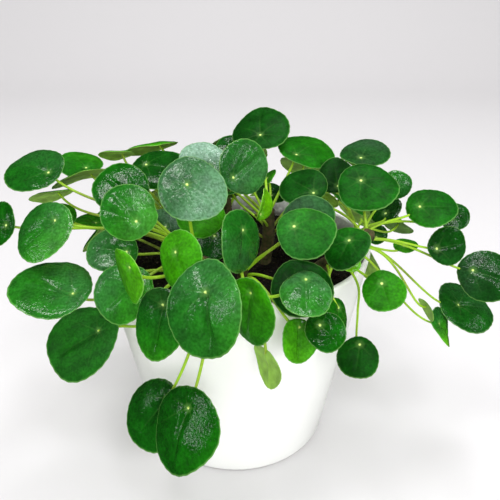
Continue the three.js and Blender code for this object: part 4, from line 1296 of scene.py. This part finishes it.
turned = turned_tree()
for name, profile, sides, skin in (
    ("pot", pot_profile(), POT_SIDES, white_pot()),
    ("soil", soil_profile(), SOIL_SIDES, soil_skin),
):
    source = profile_object(name + "_profile", profile)
    piece = grown("fine_" + name, source, turned, {"Sides": sides, "Material": skin})
    drop(source)
    face_outwards(piece)
    if name == "soil":
        roughen_soil(piece)
        crumbs = grown("soil_crumbs", piece, crumb_tree(), {
            "Crumbs per m2": CRUMBS_PER_M2,
            "Small": CRUMB_MM[0] * MM,
            "Large": CRUMB_MM[1] * MM,
            "Seed": CRUMB_SEED,
            "Material": soil_skin,
        })
        finish(crumbs, "soil")
    finish(piece, name)

stalks = stalk_tree()
for shoot_index, shoot in enumerate(SHOOTS):
    node = shoot["name"]
    stem = stem_points(shoot)
    leaves = place_leaves(shoot, shoot_index, stem)
    blades = new_object(node + "_blades", blades_mesh(node + "_blades", leaves, leaf_skins))
    finish(blades, node)
    stalk_paths = [petiole_path(leaf, shoot["petioles"]) for leaf in leaves]
    for part, paths, sides, skin in (
        ("petioles", stalk_paths, PETIOLE_SIDES, petiole_skin),
        ("stem", [stem_path(shoot, stem)], STEM_SIDES, stem_skin),
    ):
        source = path_object(node + "_paths", paths)
        piece = grown(node + "_" + part, source, stalks, {"Sides": sides, "Material": skin})
        drop(source)
        face_outwards(piece)
        finish(piece, node)

# ---------------------------------------------------------------- studio

# A seamless sheet: flat under the plant and curved up far behind it.
bend = arc((SHEET_LEVEL[-1], SHEET_BEND), SHEET_BEND, -90, 0, steps=9)
sheet_path = [(depth, 0) for depth in SHEET_LEVEL[:-1]] + [*bend, (SHEET_LEVEL[-1] + SHEET_BEND, SHEET_TOP)]
sheet_sides = (-SHEET_HALF_WIDTH, SHEET_HALF_WIDTH)
sheet_points = [(side, depth, height) for depth, height in sheet_path for side in sheet_sides]
sheet_faces = [(2 * i, 2 * i + 1, 2 * i + 3, 2 * i + 2) for i in range(len(sheet_path) - 1)]
sheet = new_object("studio_sheet", mesh_from("studio_sheet", sheet_points, sheet_faces))
sheet.data.materials.append(studio_paper())
sheet.data.shade_smooth()
sheet.visible_glossy = False  # so that the leaves mirror the dark air in its place

world = bpy.data.worlds.new("studio_air")
world.use_nodes = True
world.cycles.sampling_method = "NONE"  # so that glossy skins see only the dark air
air = world.node_tree
in_gloss = add(air, "ShaderNodeLightPath").node.outputs["Is Glossy Ray"]
strength = add(air, "ShaderNodeMapRange", {"Value": in_gloss, "To Min": AIR_STRENGTH, "To Max": AIR_IN_GLOSS})
air.nodes["Background"].inputs["Color"].default_value = linear(AIR_COLOUR)
air.links.new(strength, air.nodes["Background"].inputs["Strength"])
bpy.context.scene.world = world

for name, place, size, power, colour, mirrored in LAMPS:
    lamp = bpy.data.lights.new(name, "AREA")
    lamp.shape = "DISK"
    lamp.size = size
    lamp.energy = power
    lamp.color = linear(colour)[:3]
    light = new_object(name, lamp)
    light.location = place
    light.visible_glossy = mirrored
    light.rotation_euler = (LAMP_TARGET - Vector(place)).to_track_quat("-Z", "Y").to_euler()

camera_data = bpy.data.cameras.new("camera")
camera_data.sensor_width = SENSOR_MM
camera_data.lens = FOCAL_PX * SENSOR_MM / PHOTO_PX
camera = new_object("camera", camera_data)
camera.location = EYE * MM
camera.rotation_euler = (math.radians(90) - EYE_DOWN, 0, 0)
bpy.context.scene.camera = camera
bpy.context.scene.view_settings.view_transform = "Standard"
